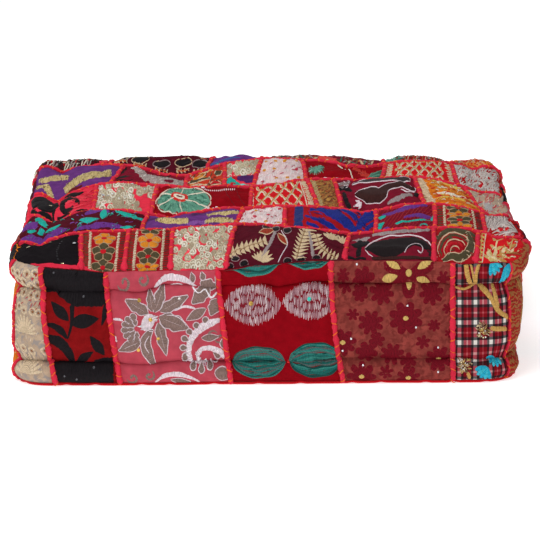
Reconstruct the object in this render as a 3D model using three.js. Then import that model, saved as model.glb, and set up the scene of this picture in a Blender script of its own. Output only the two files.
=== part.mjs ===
// Square floor pouf in patchwork: one filled cushion with rolled mattress edges and couched seam cords.
// Millimetres, +Z up. The origin is the middle of the face that rests on the floor, and the front faces -Y.
import * as THREE from "three";
import { mergeVertices } from "three/addons/utils/BufferGeometryUtils.js";

// Driving dimensions of the cushion
const HALF_WIDTH = 300;
const CORNER_RADIUS = 42;
const EDGE_RISE = 6.5;
const EDGE_RISE_WIDTH = 15;
const CROWN = 12;
const CROWN_LEAN = 0.25;
const ROLL_WIDTH = 33;
const ROLL_CREASE_SPREAD = 9;

// The band's profile: a level as a share of the seam's height, and how far it lies inside HALF_WIDTH
const BAND_PROFILE = [
  { level: 0.0, inset: 12 },
  { level: 0.03, inset: 5.5 },
  { level: 0.09, inset: 0 },
  { level: 0.15, inset: 1.5 },
  { level: 0.21, inset: 7 },
  { level: 0.27, inset: 2.5 },
  { level: 0.38, inset: 0.5 },
  { level: 0.52, inset: 0 },
  { level: 0.66, inset: 0.5 },
  { level: 0.74, inset: 2.5 },
  { level: 0.8, inset: 7.5 },
  { level: 0.86, inset: 1.5 },
  { level: 0.93, inset: 0 },
  { level: 1.0, inset: 4.5 },
];

// How much the creases of the band deepen, fade, rise and fall as they run round the cushion
const CREASE_WAVER = { share: 0.25, length: 37 };
const CREASE_DRIFT = { share: 0.012, length: 52 };

// Distances in from an edge at which the top and bottom are divided, before even steps to the middle
const EDGE_LINES = [0, 4, 10, 17, 25, 33, 42, 56];
const MIDDLE_STEPS = 7;

// Height of the top seam along the front, at the sides and along the back
const FRONT_SEAM = [
  { at: -300, height: 147 },
  { at: -190, height: 138 },
  { at: -50, height: 139 },
  { at: 0, height: 145 },
  { at: 50, height: 149 },
  { at: 190, height: 148 },
  { at: 225, height: 144 },
  { at: 300, height: 142 },
];
const SIDE_SEAM = { height: 143, ripple: 1.5, lengthX: 83, lengthY: 61 };
const BACK_SEAM = [
  { at: -300, height: 143 },
  { at: -60, height: 146 },
  { at: 60, height: 144 },
  { at: 150, height: 140 },
  { at: 300, height: 137 },
];

// How far the left and right edges of the top, and of the foot, swell past HALF_WIDTH
const EDGE_SWELL = [
  { at: -300, left: 4, right: 4 },
  { at: -190, left: 7, right: 15 },
  { at: -60, left: 1, right: 2 },
  { at: 60, left: 3, right: 0 },
  { at: 180, left: 0, right: 1 },
  { at: 300, left: 1, right: 3 },
];
const FOOT_SWELL = { left: 5, right: -3 };

// Depth of the channel sewn inside each rolled edge of the top, and how it comes and goes with each stitch
const CHANNEL = { front: 2.5, right: 8, back: 4, left: 8 };
const CHANNEL_WAVER = { share: 0.3, length: 19 };

// Places where the crown is pulled down: four tufts, then slack hollows, then two full places, which stand up
const TUFTS = [
  { x: -115, y: -72, depth: 8, spread: 30 },
  { x: 118, y: -60, depth: 9, spread: 30 },
  { x: -113, y: 150, depth: 11, spread: 32 },
  { x: 116, y: 175, depth: 8, spread: 30 },
  { x: -60, y: 62, depth: 5, spread: 34 },
  { x: 96, y: -180, depth: 5, spread: 30 },
  { x: 8, y: 205, depth: -5, spread: 45 },
  { x: 190, y: 95, depth: -5, spread: 45 },
];

// The four long seams between the rows of the top: how far back each lies at a place across
const ROW_SEAMS = [
  { at: -300, first: -178, second: -45, third: 72, fourth: 212 },
  { at: -270, first: -176, second: -62, third: 66, fourth: 212 },
  { at: -200, first: -168, second: -58, third: 88, fourth: 206 },
  { at: -110, first: -168, second: -72, third: 62, fourth: 178 },
  { at: -45, first: -148, second: -58, third: 56, fourth: 192 },
  { at: 0, first: -150, second: -57, third: 62, fourth: 216 },
  { at: 50, first: -166, second: -56, third: 80, fourth: 214 },
  { at: 110, first: -177, second: -60, third: 84, fourth: 200 },
  { at: 190, first: -164, second: -46, third: 102, fourth: 214 },
  { at: 250, first: -165, second: -45, third: 88, fourth: 212 },
  { at: 300, first: -178, second: -50, third: 78, fourth: 206 },
];

// The short seams inside each row of the top, between the two long seams that close the row: where each one
// lies across at its front end and at its back end
const CROSS_SEAMS = [
  {
    behind: null,
    before: "first",
    front: [-219, -168, -114, -49, 90, 194, 243],
    back: [-223, -166, -113, -39, 98, 199, 251],
  },
  {
    behind: "first",
    before: "second",
    front: [-150, -38, 20, 130, 201, 260],
    back: [-148, -30, 22, 133, 205, 261],
  },
  {
    behind: "second",
    before: "third",
    front: [-213, -143, -21, 61, 91, 192, 262],
    back: [-214, -138, -19, 51, 84, 185, 246],
  },
  {
    behind: "third",
    before: "fourth",
    front: [-196, -103, -53, -17, 49, 145, 239],
    back: [-185, -101, -53, -7, 45, 152, 236],
  },
  {
    behind: "fourth",
    before: null,
    front: [-202, -76, -7, 150, 238],
    back: [-200, -67, -7, 151, 240],
  },
];

// The upright seams of the band: how far along its side each lies at its top, middle and foot
const BAND_SEAMS = {
  front: [
    { top: -266, middle: -263, foot: -250 },
    { top: -191, middle: -184, foot: -174 },
    { top: -59, middle: -53, foot: -44 },
    { top: 73, middle: 76, foot: 88 },
    { top: 216, middle: 216, foot: 217 },
    { top: 286, middle: 285, foot: 283 },
  ],
  right: [
    { top: -192, middle: -189, foot: -185 },
    { top: -78, middle: -75, foot: -80 },
    { top: 38, middle: 41, foot: 40 },
    { top: 146, middle: 150, foot: 152 },
    { top: 238, middle: 236, foot: 233 },
  ],
  back: [
    { top: -188, middle: -184, foot: -186 },
    { top: -52, middle: -50, foot: -47 },
    { top: 83, middle: 80, foot: 84 },
    { top: 205, middle: 208, foot: 206 },
  ],
  left: [
    { top: -268, middle: -267, foot: -265 },
    { top: -170, middle: -172, foot: -176 },
    { top: -48, middle: -45, foot: -47 },
    { top: 72, middle: 70, foot: 74 },
    { top: 200, middle: 198, foot: 195 },
  ],
};

// Seam cords and the foot's seam lip, laid this far off the cushion
const TOP_CORD_RADIUS = 2.7;
const BAND_CORD_RADIUS = 3.2;
const LIP_RADIUS = 1.7;
const CORD_SIDES = 6;
const LIP_SIDES = 4;
const CLEARANCE = 0.35;
const LIP_LEVEL = BAND_PROFILE[1].level;
const LIP_ENDS_APART = 0.8;

// The ends of the cords of the top: short of the cord that they meet, and short of the edge of the top
const CORD_END = 6.5;
const EDGE_END = 8;

// Length of a cord's steps, which are finer over the rolled edges, and the levels of a band cord's steps
const CORD_STEP = 17;
const ROLL_STEP = 6;
const ROLL_REACH = 50;
const FOOT_LEVELS = [0.06, 0.1, 0.15, 0.19, 0.23, 0.29, 0.4];
const HEAD_LEVELS = [0.52, 0.65, 0.73, 0.78, 0.82, 0.87, 0.92, 0.965];

// Cloth colours and finish
const PATCHWORK_COLOUR = 0x9b2030;
const CORD_COLOUR = 0xe83a55;
const LIP_COLOUR = 0xc8141c;
const CLOTH_ROUGHNESS = 0.85;

// Half the width over which a slope is measured, and the distance at which corners of faces are one
const PROBE = 2.5;
const WELD = 0.001;

const clamp01 = (t) => Math.min(1, Math.max(0, t));
const bell = (distance, spread) => Math.exp(-((distance / spread) ** 2) / 2);

// Reads one column of a table at a place along it, easing between its rows
function along(table, column, at) {
  const last = table.length - 1;
  const row = Math.max(0, Math.min(last - 1, table.findIndex((r) => r.at > at) - 1));
  const found = at >= table[last].at ? last - 1 : row;
  const from = table[found];
  const to = table[found + 1];
  const t = clamp01((at - from.at) / (to.at - from.at));
  return from[column] + (to[column] - from[column]) * t * t * (3 - 2 * t);
}

// Height of the top seam at a place on the outline: the front's own height, easing to the other sides'
function seamHeight(x, y) {
  const frontness = clamp01((-y / HALF_WIDTH - 0.2) / 0.8) ** 2;
  const backness = clamp01(y / HALF_WIDTH) ** 2;
  const side = SIDE_SEAM.height + SIDE_SEAM.ripple * Math.sin(y / SIDE_SEAM.lengthY + x / SIDE_SEAM.lengthX);
  const rest = THREE.MathUtils.lerp(side, along(BACK_SEAM, "height", x), backness);
  return THREE.MathUtils.lerp(rest, along(FRONT_SEAM, "height", x), frontness);
}

// Bends the corner of a square of this half size into a round corner
function roundCorner(x, y, half) {
  const start = half - CORNER_RADIUS;
  const a = Math.max(0, Math.abs(x) - start);
  const b = Math.max(0, Math.abs(y) - start);
  const bentA = a * Math.sqrt(1 - (b / CORNER_RADIUS) ** 2 / 2);
  const bentB = b * Math.sqrt(1 - (a / CORNER_RADIUS) ** 2 / 2);
  return [Math.sign(x) * (Math.abs(x) - a + bentA), Math.sign(y) * (Math.abs(y) - b + bentB)];
}

// Shifts a place sideways by the swell of the left or right edge, more towards that edge and the top
function swell(x, y, level) {
  const share = x / HALF_WIDTH;
  const column = share > 0 ? "right" : "left";
  const out = THREE.MathUtils.lerp(FOOT_SWELL[column], along(EDGE_SWELL, column, y), level);
  return x + Math.sign(share) * share * share * out;
}

// A point of the band: across is the place on the unit square's outline, level the share of the seam's height
function bandPoint(acrossX, acrossY, level) {
  const last = BAND_PROFILE.length - 1;
  const row = Math.min(last - 1, Math.max(0, BAND_PROFILE.findIndex((r) => r.level > level) - 1));
  const found = level >= 1 ? last - 1 : row;
  const from = BAND_PROFILE[found];
  const to = BAND_PROFILE[found + 1];
  const t = (level - from.level) / (to.level - from.level);
  const inset = from.inset + (to.inset - from.inset) * t;
  const turn = Math.abs(acrossX) > Math.abs(acrossY) ? acrossY * HALF_WIDTH : acrossX * HALF_WIDTH;
  const waver = 1 + CREASE_WAVER.share * Math.sin(turn / CREASE_WAVER.length + acrossX * 2 + acrossY * 3);
  const half = HALF_WIDTH - inset * (level > 0 && level < 1 ? waver : 1);
  const [x, y] = roundCorner(acrossX * half, acrossY * half, half);
  const drift = CREASE_DRIFT.share * Math.sin(turn / CREASE_DRIFT.length + 1) * Math.sin(Math.PI * level);
  return new THREE.Vector3(swell(x, y, level), y, seamHeight(x, y) * (level + drift));
}

// Height of the top over a place inside its seam, whose outline has this half size
function topHeight(x, y, half) {
  const edges = { left: half + x, right: half - x, front: half + y, back: half - y };
  let edgeRise = EDGE_RISE;
  let channel = 0;
  for (const [side, distance] of Object.entries(edges)) {
    const short = 1 - clamp01(distance / EDGE_RISE_WIDTH);
    edgeRise *= Math.sqrt(1 - short * short);
    const otherEdges = Object.keys(edges).filter((name) => name !== side);
    const nearest = Math.min(...otherEdges.map((name) => edges[name]));
    const pull = CHANNEL[side] * (1 + CHANNEL_WAVER.share * Math.sin((x + y) / CHANNEL_WAVER.length));
    channel += pull * bell(distance - ROLL_WIDTH, ROLL_CREASE_SPREAD) * clamp01(nearest / ROLL_WIDTH);
  }
  const lean = 1 + (CROWN_LEAN * y) / half;
  const crown = CROWN * lean * (1 - Math.abs(x / half) ** 3) * (1 - (y / half) ** 4);
  let tufts = 0;
  for (const tuft of TUFTS) {
    tufts += tuft.depth * bell(Math.hypot(x - tuft.x, y - tuft.y), tuft.spread);
  }
  return seamHeight(x, y) + edgeRise + crown - channel - tufts;
}

// A point of the top: across is the place on the unit square
function topPoint(acrossX, acrossY) {
  const half = HALF_WIDTH - BAND_PROFILE[BAND_PROFILE.length - 1].inset;
  const [x, y] = roundCorner(acrossX * half, acrossY * half, half);
  return new THREE.Vector3(swell(x, y, 1), y, topHeight(x, y, half));
}

// A point of the flat bottom
function bottomPoint(acrossX, acrossY) {
  const half = HALF_WIDTH - BAND_PROFILE[0].inset;
  const [x, y] = roundCorner(acrossX * half, acrossY * half, half);
  return new THREE.Vector3(swell(x, y, 0), y, 0);
}

// The even divisions of a box face become lines that crowd towards the edges
function gridLine(share) {
  const index = Math.round(Math.abs(share) * (EDGE_LINES.length - 1 + MIDDLE_STEPS));
  const steps = EDGE_LINES.length - 1 + MIDDLE_STEPS - index;
  const innermost = EDGE_LINES[EDGE_LINES.length - 1];
  const inward = innermost + ((HALF_WIDTH - innermost) * (steps - EDGE_LINES.length + 1)) / MIDDLE_STEPS;
  const distance = steps < EDGE_LINES.length ? EDGE_LINES[steps] : inward;
  return (Math.sign(share) * (HALF_WIDTH - distance)) / HALF_WIDTH;
}

function cushionGeometry() {
  const across = 2 * (EDGE_LINES.length - 1 + MIDDLE_STEPS);
  const levels = BAND_PROFILE.length - 1;
  const box = new THREE.BoxGeometry(2, 2, 1, across, across, levels);
  box.deleteAttribute("normal");
  box.deleteAttribute("uv");
  const place = box.getAttribute("position");
  for (let i = 0; i < place.count; i += 1) {
    const x = gridLine(place.getX(i));
    const y = gridLine(place.getY(i));
    const row = Math.round((place.getZ(i) + 0.5) * levels);
    const onSide = Math.max(Math.abs(x), Math.abs(y)) > 0.9999;
    let point = bandPoint(x, y, BAND_PROFILE[row].level);
    if (!onSide) {
      point = row === 0 ? bottomPoint(x, y) : topPoint(x, y);
    }
    place.setXYZ(i, point.x, point.y, point.z);
  }
  const merged = mergeVertices(box, WELD);
  merged.computeVertexNormals();
  return merged;
}

function piece(name, geometry, color) {
  const material = new THREE.MeshStandardMaterial({ color, roughness: CLOTH_ROUGHNESS, metalness: 0 });
  const mesh = new THREE.Mesh(geometry, material);
  mesh.name = name;
  return mesh;
}

const cushion = piece("cushion", cushionGeometry(), PATCHWORK_COLOUR);
const ray = new THREE.Raycaster();

// Where a line that runs inwards through a place first meets the cushion
function meet(place, inward) {
  const start = place.clone().addScaledVector(inward, -3 * HALF_WIDTH);
  ray.set(start, inward);
  return ray.intersectObject(cushion, false)[0].point;
}

// The cushion's surface under a place, as a point and the way that faces out of it there
function surfaceAt(place, inward) {
  const sideways = new THREE.Vector3(inward.z, inward.x, inward.y);
  const upwards = new THREE.Vector3().crossVectors(inward, sideways);
  const slopes = [sideways, upwards].map((way) => {
    const far = meet(place.clone().addScaledVector(way, PROBE), inward);
    return far.sub(meet(place.clone().addScaledVector(way, -PROBE), inward));
  });
  const normal = new THREE.Vector3().crossVectors(slopes[0], slopes[1]).normalize();
  normal.multiplyScalar(-Math.sign(normal.dot(inward)));
  return { point: meet(place, inward), normal };
}

// Lays a cord of this radius along places on the cushion, lifted where a straight step would press into it
function laid(places, inward, radius) {
  const under = places.map((place) => surfaceAt(place, inward));
  const height = radius + CLEARANCE;
  const points = under.map(({ point, normal }) => point.clone().addScaledVector(normal, height));
  const lift = places.map(() => 0);
  for (let i = 0; i + 1 < places.length; i += 1) {
    for (const t of [0.2, 0.4, 0.6, 0.8]) {
      const { point, normal } = surfaceAt(places[i].clone().lerp(places[i + 1], t), inward);
      const off = points[i].clone().lerp(points[i + 1], t).sub(point).dot(normal);
      lift[i] = Math.max(lift[i], height - off);
      lift[i + 1] = Math.max(lift[i + 1], height - off);
    }
  }
  return points.map((point, i) => point.addScaledVector(under[i].normal, lift[i]));
}

// A path through given points, with one step of the cord between each two
class CordPath extends THREE.Curve {
  constructor(points) {
    super();
    this.points = points;
  }
  getPoint(t) {
    const last = this.points.length - 1;
    const index = Math.min(last - 1, Math.floor(t * last + 1e-6));
    return this.points[index].clone().lerp(this.points[index + 1], t * last - index);
  }
  getPointAt(u) {
    return this.getPoint(u);
  }
  getTangentAt(u) {
    const last = this.points.length - 1;
    const index = Math.round(u * last);
    const next = this.points[Math.min(last, index + 1)];
    return next.clone().sub(this.points[Math.max(0, index - 1)]).normalize();
  }
}

function cordGeometry(points, radius, sides) {
  const rim = [];
  for (let i = 0; i < sides; i += 1) {
    const angle = (2 * Math.PI * i) / sides;
    rim.push(new THREE.Vector2(radius * Math.cos(angle), radius * Math.sin(angle)));
  }
  const options = { steps: points.length - 1, extrudePath: new CordPath(points) };
  const geometry = new THREE.ExtrudeGeometry(new THREE.Shape(rim), options);
  geometry.deleteAttribute("normal");
  geometry.deleteAttribute("uv");
  const merged = mergeVertices(geometry, WELD);
  merged.computeVertexNormals();
  return merged;
}

// Places from one end to the other, close together where the surface turns near the edges
function stepsBetween(from, to, turnsAtStart, turnsAtEnd) {
  const places = [from];
  let at = from;
  while (at < to) {
    const rolls = (turnsAtStart && at - from < ROLL_REACH) || (turnsAtEnd && to - at < ROLL_REACH + ROLL_STEP);
    at += rolls ? ROLL_STEP : CORD_STEP;
    places.push(Math.min(at, to));
  }
  return places;
}

const DOWN = new THREE.Vector3(0, 0, -1);

// The long cords of the top, from the left edge to the right
function rowCord(name, seam) {
  const steps = stepsBetween(EDGE_END - HALF_WIDTH, HALF_WIDTH - EDGE_END, true, true);
  const places = steps.map((x) => new THREE.Vector3(x, along(ROW_SEAMS, seam, x), 0));
  const points = laid(places, DOWN, TOP_CORD_RADIUS);
  return piece(name, cordGeometry(points, TOP_CORD_RADIUS, CORD_SIDES), CORD_COLOUR);
}

// A short cord between two rows, or between a row and the edge of the top
function crossCord(name, row, index) {
  const frontX = row.front[index];
  const backX = row.back[index];
  const edge = HALF_WIDTH - EDGE_END;
  const start = row.behind ? along(ROW_SEAMS, row.behind, frontX) + CORD_END : -edge;
  const end = row.before ? along(ROW_SEAMS, row.before, backX) - CORD_END : edge;
  const places = stepsBetween(start, end, !row.behind, !row.before).map((y) => {
    return new THREE.Vector3(THREE.MathUtils.mapLinear(y, start, end, frontX, backX), y, 0);
  });
  const points = laid(places, DOWN, TOP_CORD_RADIUS);
  return piece(name, cordGeometry(points, TOP_CORD_RADIUS, CORD_SIDES), CORD_COLOUR);
}

const SIDES = {
  front: { along: new THREE.Vector3(1, 0, 0), inward: new THREE.Vector3(0, 1, 0) },
  right: { along: new THREE.Vector3(0, 1, 0), inward: new THREE.Vector3(-1, 0, 0) },
  back: { along: new THREE.Vector3(1, 0, 0), inward: new THREE.Vector3(0, -1, 0) },
  left: { along: new THREE.Vector3(0, 1, 0), inward: new THREE.Vector3(1, 0, 0) },
};

// An upright cord of the band
function bandCord(name, side, seam) {
  const { along: direction, inward } = SIDES[side];
  const places = [...FOOT_LEVELS, ...HEAD_LEVELS].map((level) => {
    const lower = THREE.MathUtils.lerp(seam.foot, seam.middle, clamp01(level * 2));
    const at = level < 0.5 ? lower : THREE.MathUtils.lerp(seam.middle, seam.top, level * 2 - 1);
    const place = direction.clone().multiplyScalar(at);
    place.z = level * seamHeight(place.x - inward.x * HALF_WIDTH, place.y - inward.y * HALF_WIDTH);
    return place;
  });
  const points = laid(places, inward, BAND_CORD_RADIUS);
  return piece(name, cordGeometry(points, BAND_CORD_RADIUS, CORD_SIDES), CORD_COLOUR);
}

// The seam lip round the foot follows the band's lowest turn, with its two ends meeting behind
function lipPath() {
  const across = EDGE_LINES.length - 1 + MIDDLE_STEPS;
  const lines = Array.from({ length: 2 * across }, (_, i) => gridLine((i - across) / across));
  const turned = lines.map((line) => -line);
  const halfWay = lines.length / 2;
  const outline = [
    ...turned.slice(halfWay).map((x) => [x, 1]),
    ...turned.map((y) => [-1, y]),
    ...lines.map((x) => [x, -1]),
    ...lines.map((y) => [1, y]),
    ...turned.slice(0, halfWay + 1).map((x) => [x, 1]),
  ];
  const points = outline.map(([acrossX, acrossY]) => {
    const on = bandPoint(acrossX, acrossY, LIP_LEVEL);
    const above = bandPoint(acrossX, acrossY, 2 * LIP_LEVEL);
    const outward = new THREE.Vector3(above.x - on.x, above.y - on.y, 0);
    const slope = new THREE.Vector3(0, 0, -outward.length() / (above.z - on.z));
    return on.addScaledVector(outward.normalize().add(slope).normalize(), LIP_RADIUS + CLEARANCE);
  });
  points[0].x -= LIP_ENDS_APART / 2;
  points[points.length - 1].x += LIP_ENDS_APART / 2;
  return points;
}

const group = new THREE.Group();
group.add(cushion);
group.add(piece("bottom_lip", cordGeometry(lipPath(), LIP_RADIUS, LIP_SIDES), LIP_COLOUR));
["first", "second", "third", "fourth"].forEach((seam, i) => {
  group.add(rowCord(`top_row_cord_${i + 1}`, seam));
});
let count = 0;
for (const row of CROSS_SEAMS) {
  row.front.forEach((_, index) => {
    count += 1;
    group.add(crossCord(`top_cross_cord_${count}`, row, index));
  });
}
for (const [side, seams] of Object.entries(BAND_SEAMS)) {
  seams.forEach((seam, i) => group.add(bandCord(`band_cord_${side}_${i + 1}`, side, seam)));
}

// The uneven outline is centred over the origin, with its flat bottom on the floor
const bounds = new THREE.Box3().setFromObject(group);
const middle = bounds.getCenter(new THREE.Vector3());
group.position.set(-middle.x, -middle.y, -bounds.min.z);

export default group;
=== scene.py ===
import math
import random

import bmesh
import bpy
import numpy as np
from mathutils import Matrix, Vector
from mathutils.bvhtree import BVHTree
from mathutils.kdtree import KDTree


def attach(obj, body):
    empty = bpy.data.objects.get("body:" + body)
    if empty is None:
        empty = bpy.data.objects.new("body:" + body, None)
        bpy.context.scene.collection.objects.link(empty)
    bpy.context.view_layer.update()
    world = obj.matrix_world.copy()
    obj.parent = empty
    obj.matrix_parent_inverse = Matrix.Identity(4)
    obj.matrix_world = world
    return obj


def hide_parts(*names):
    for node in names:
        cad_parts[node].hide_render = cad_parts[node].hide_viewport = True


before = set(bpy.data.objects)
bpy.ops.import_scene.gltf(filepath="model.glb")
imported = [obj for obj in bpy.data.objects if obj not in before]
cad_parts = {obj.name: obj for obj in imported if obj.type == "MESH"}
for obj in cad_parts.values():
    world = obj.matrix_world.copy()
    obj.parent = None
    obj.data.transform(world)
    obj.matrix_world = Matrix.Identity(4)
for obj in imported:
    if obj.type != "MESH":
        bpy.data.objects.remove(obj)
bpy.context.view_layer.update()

# Camera: it stands well back and a little above the pouf, with a long lens, and is turned by half a degree
# as in the photograph.
MM = 0.001
PHOTO_PX = 540
VIEW_ELEVATION = math.radians(13.5)
VIEW_ROLL = math.radians(0.5)
VIEW_DISTANCE = 4900 * MM
FOCAL_PX = 4195
SENSOR_MM = 36
AIM = Vector((-0.8, -300, 139.8)) * MM
view_way = Vector((0, math.cos(VIEW_ELEVATION), -math.sin(VIEW_ELEVATION)))
level_up = Vector((0, math.sin(VIEW_ELEVATION), math.cos(VIEW_ELEVATION)))
level_right = Vector((1, 0, 0))
camera_up = level_up * math.cos(VIEW_ROLL) + level_right * math.sin(VIEW_ROLL)
camera_right = level_right * math.cos(VIEW_ROLL) - level_up * math.sin(VIEW_ROLL)
camera_data = bpy.data.cameras.new("camera")
camera_data.sensor_width = SENSOR_MM
camera_data.lens = SENSOR_MM * FOCAL_PX / PHOTO_PX
camera_data.clip_end = 50
camera = bpy.data.objects.new("camera", camera_data)
camera.matrix_world = Matrix.Translation(AIM - view_way * VIEW_DISTANCE) @ Matrix(
    (camera_right, camera_up, -view_way)
).transposed().to_4x4()
bpy.context.scene.collection.objects.link(camera)
bpy.context.scene.camera = camera

# Studio: a pale floor under the pouf, one large soft light from above and in front, two weak fills at the
# sides, and an even pale surround.
world = bpy.data.worlds.new("surround")
world.use_nodes = True
world.node_tree.nodes["Background"].inputs["Color"].default_value = (1.0, 1.0, 1.0, 1)
world.node_tree.nodes["Background"].inputs["Strength"].default_value = 0.42
bpy.context.scene.world = world
bpy.context.scene.view_settings.view_transform = "Standard"


def soft_light(name, place, aim, size, watts):
    light = bpy.data.lights.new(name, "AREA")
    light.shape = "SQUARE"
    light.size = size
    light.energy = watts
    lamp = bpy.data.objects.new(name, light)
    lamp.location = place
    lamp.rotation_euler = (Vector(aim) - Vector(place)).to_track_quat("-Z", "Y").to_euler()
    bpy.context.scene.collection.objects.link(lamp)


soft_light("light_above", (-0.5, -0.75, 2.2), (0, 0, 0.1), 1.5, 37)
soft_light("light_front", (0.6, -2.6, 0.9), (0, -0.2, 0.08), 1.4, 6)
soft_light("light_left", (-2.2, -0.6, 0.9), (0, 0, 0.1), 1.0, 6)

FLOOR_HALF = 6.0
floor_shape = bmesh.new()
bmesh.ops.create_grid(floor_shape, x_segments=1, y_segments=1, size=FLOOR_HALF)
floor_mesh = bpy.data.meshes.new("floor")
floor_shape.to_mesh(floor_mesh)
floor_shape.free()
floor = bpy.data.objects.new("floor", floor_mesh)
bpy.context.scene.collection.objects.link(floor)
floor_paint = bpy.data.materials.new("floor_paper")
floor_paint.use_nodes = True
floor_shader = floor_paint.node_tree.nodes["Principled BSDF"]
floor_shader.inputs["Base Color"].default_value = (0.93, 0.93, 0.93, 1)
floor_shader.inputs["Roughness"].default_value = 0.9
floor_shader.inputs["Emission Color"].default_value = (1.0, 1.0, 1.0, 1)
floor_shader.inputs["Emission Strength"].default_value = 0.55
floor_mesh.materials.append(floor_paint)

# Filled cover: a cotton cover stuffed tight, on which the patches are sewn. Its band and top are joined by
# a rolled mattress edge, and the seams and tufts hold it back where it swells between them.
VOXEL = 6 * MM
SWELL_CAP = 5.5 * MM
SIDE_SWELL = 0.35
SEAM_HOLD = 7
TUFT_HOLD = 16
FOOT_HELD = 10 * MM
FILLING_STEPS = 16
TUFTS = [(-118, -72), (115, -60), (-116, 150), (113, 175)]
ROW_CORDS = [f"top_row_cord_{i}" for i in range(1, 5)]
CROSS_CORDS = [[1, 2, 3, 4, 5, 6, 7], [8, 9, 10, 11, 12, 13], [14, 15, 16, 17, 18, 19, 20],
               [21, 22, 23, 24, 25, 26, 27], [28, 29, 30, 31, 32]]
BAND_CORDS = {"front": 6, "right": 5, "back": 4, "left": 5}


def node_points(name):
    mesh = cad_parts[name].data
    points = np.empty(len(mesh.vertices) * 3)
    mesh.vertices.foreach_get("co", points)
    return points.reshape(-1, 3) / MM


def centre_line(name, axis, step):
    """Middle of a sewn cord of the frame, as places sorted along one axis, in millimetres."""
    points = node_points(name)
    low, high = points[:, axis].min(), points[:, axis].max()
    places = []
    for at in np.linspace(low + 2, high - 2, max(2, int((high - low) / step))):
        near = points[np.abs(points[:, axis] - at) < step]
        if len(near):
            place = (near.min(axis=0) + near.max(axis=0)) / 2
            place[axis] = at
            places.append(place)
    return np.array(places)


row_lines = [centre_line(name, 0, 9) for name in ROW_CORDS]
cross_lines = [[centre_line(f"top_cross_cord_{i}", 1, 12) for i in row] for row in CROSS_CORDS]
band_lines = {
    side: [centre_line(f"band_cord_{side}_{i + 1}", 2, 9) for i in range(count)]
    for side, count in BAND_CORDS.items()
}
all_lines = np.concatenate(row_lines + [line for row in cross_lines for line in row]
                           + [line for lines in band_lines.values() for line in lines])


def new_object(name, shape):
    mesh = bpy.data.meshes.new(name)
    shape.to_mesh(mesh)
    shape.free()
    mesh.polygons.foreach_set("use_smooth", [True] * len(mesh.polygons))
    thing = bpy.data.objects.new(name, mesh)
    bpy.context.scene.collection.objects.link(thing)
    return thing


def apply_modifiers(thing):
    applied = bpy.data.meshes.new_from_object(thing.evaluated_get(bpy.context.evaluated_depsgraph_get()))
    thing.modifiers.clear()
    old = thing.data
    thing.data = applied
    bpy.data.meshes.remove(old)


def coordinates(thing):
    places = np.empty(len(thing.data.vertices) * 3)
    thing.data.vertices.foreach_get("co", places)
    return places.reshape(-1, 3)


def nearest_of(places):
    """A tree that finds the nearest of these places."""
    tree = KDTree(len(places))
    for index, place in enumerate(places):
        tree.insert(place, index)
    tree.balance()
    return tree


blank = bmesh.new()
blank.from_mesh(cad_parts["cushion"].data)
bmesh.ops.remove_doubles(blank, verts=blank.verts, dist=0.01 * MM)
bmesh.ops.join_triangles(blank, faces=blank.faces, angle_face_threshold=0.9, angle_shape_threshold=1.2)
filled = new_object("filled_cover", blank)
rounding = filled.modifiers.new("rounding", "SUBSURF")
rounding.levels = rounding.render_levels = 2
even = filled.modifiers.new("even", "REMESH")
even.mode = "VOXEL"
even.voxel_size = VOXEL
apply_modifiers(filled)

before = coordinates(filled)
held_places = nearest_of(all_lines * MM)
hold = filled.vertex_groups.new(name="held")
for index, place in enumerate(before):
    reach = held_places.find(place)[2] / MM
    tuft = min(math.hypot(place[0] / MM - x, place[1] / MM - y) for x, y in TUFTS)
    weight = math.exp(-(reach / SEAM_HOLD) ** 2)
    if place[2] > 0.1:
        weight = max(weight, math.exp(-(tuft / TUFT_HOLD) ** 2))
    if place[2] < FOOT_HELD:
        weight = 1
    hold.add([index], weight, "REPLACE")
cloth = filled.modifiers.new("filling", "CLOTH")
cloth.settings.use_pressure = True
cloth.settings.uniform_pressure_force = 4
cloth.settings.vertex_group_mass = "held"
cloth.settings.pin_stiffness = 20
cloth.settings.effector_weights.gravity = 0
cloth.settings.quality = 4
cloth.settings.shrink_min = -0.03
cloth.point_cache.frame_start = 1
cloth.point_cache.frame_end = FILLING_STEPS
for step in range(1, FILLING_STEPS + 1):
    bpy.context.scene.frame_set(step)
apply_modifiers(filled)
moved = coordinates(filled) - before
length = np.linalg.norm(moved, axis=1)
moved *= (np.minimum(length, SWELL_CAP) / np.maximum(length, 1e-9))[:, None]
moved[:, :2] *= SIDE_SWELL
filled.data.vertices.foreach_set("co", (before + moved).ravel())
bpy.context.scene.frame_set(1)

# Mattress edge: waxed thread is drawn through the band all round, a hand's breadth apart, and makes the two
# deep creases that leave a roll along its top and another along its foot.
HALF = 300
CORNER = 42
STRAIGHT = HALF - CORNER
SIDE = 2 * STRAIGHT + CORNER * math.pi / 2
ROUND = 4 * SIDE
MIDDLE = np.array((-3.275, 0.039))
SIDE_ALONG = np.array(((1, 0), (0, 1), (-1, 0), (0, -1)))
SIDE_OUT = np.array(((0, -1), (1, 0), (0, 1), (-1, 0)))
RIM_AT = [-291, -190, -50, 0, 50, 190, 225, 291, 400, 582, 873, 1014, 1104, 1224, 1330, 1455, 1746, 2037]
RIM_LEVEL = [147, 138, 139, 145, 149, 148, 144, 144, 148, 143, 140, 139, 138, 139, 141, 143, 143, 147]
CELL = 3.0
OUTSIDE = 60
BAND_COLUMNS = round(ROUND / CELL)
BAND_ROWS = 97
UPPER_AT = [-291, -253, -220, -190, -179, -169, -157, -144, -134, -122, -107, -91, -77, -60, -48, -26, -5, 9,
            28, 48, 69, 100, 150, 167, 192, 212, 243, 291]
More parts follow.
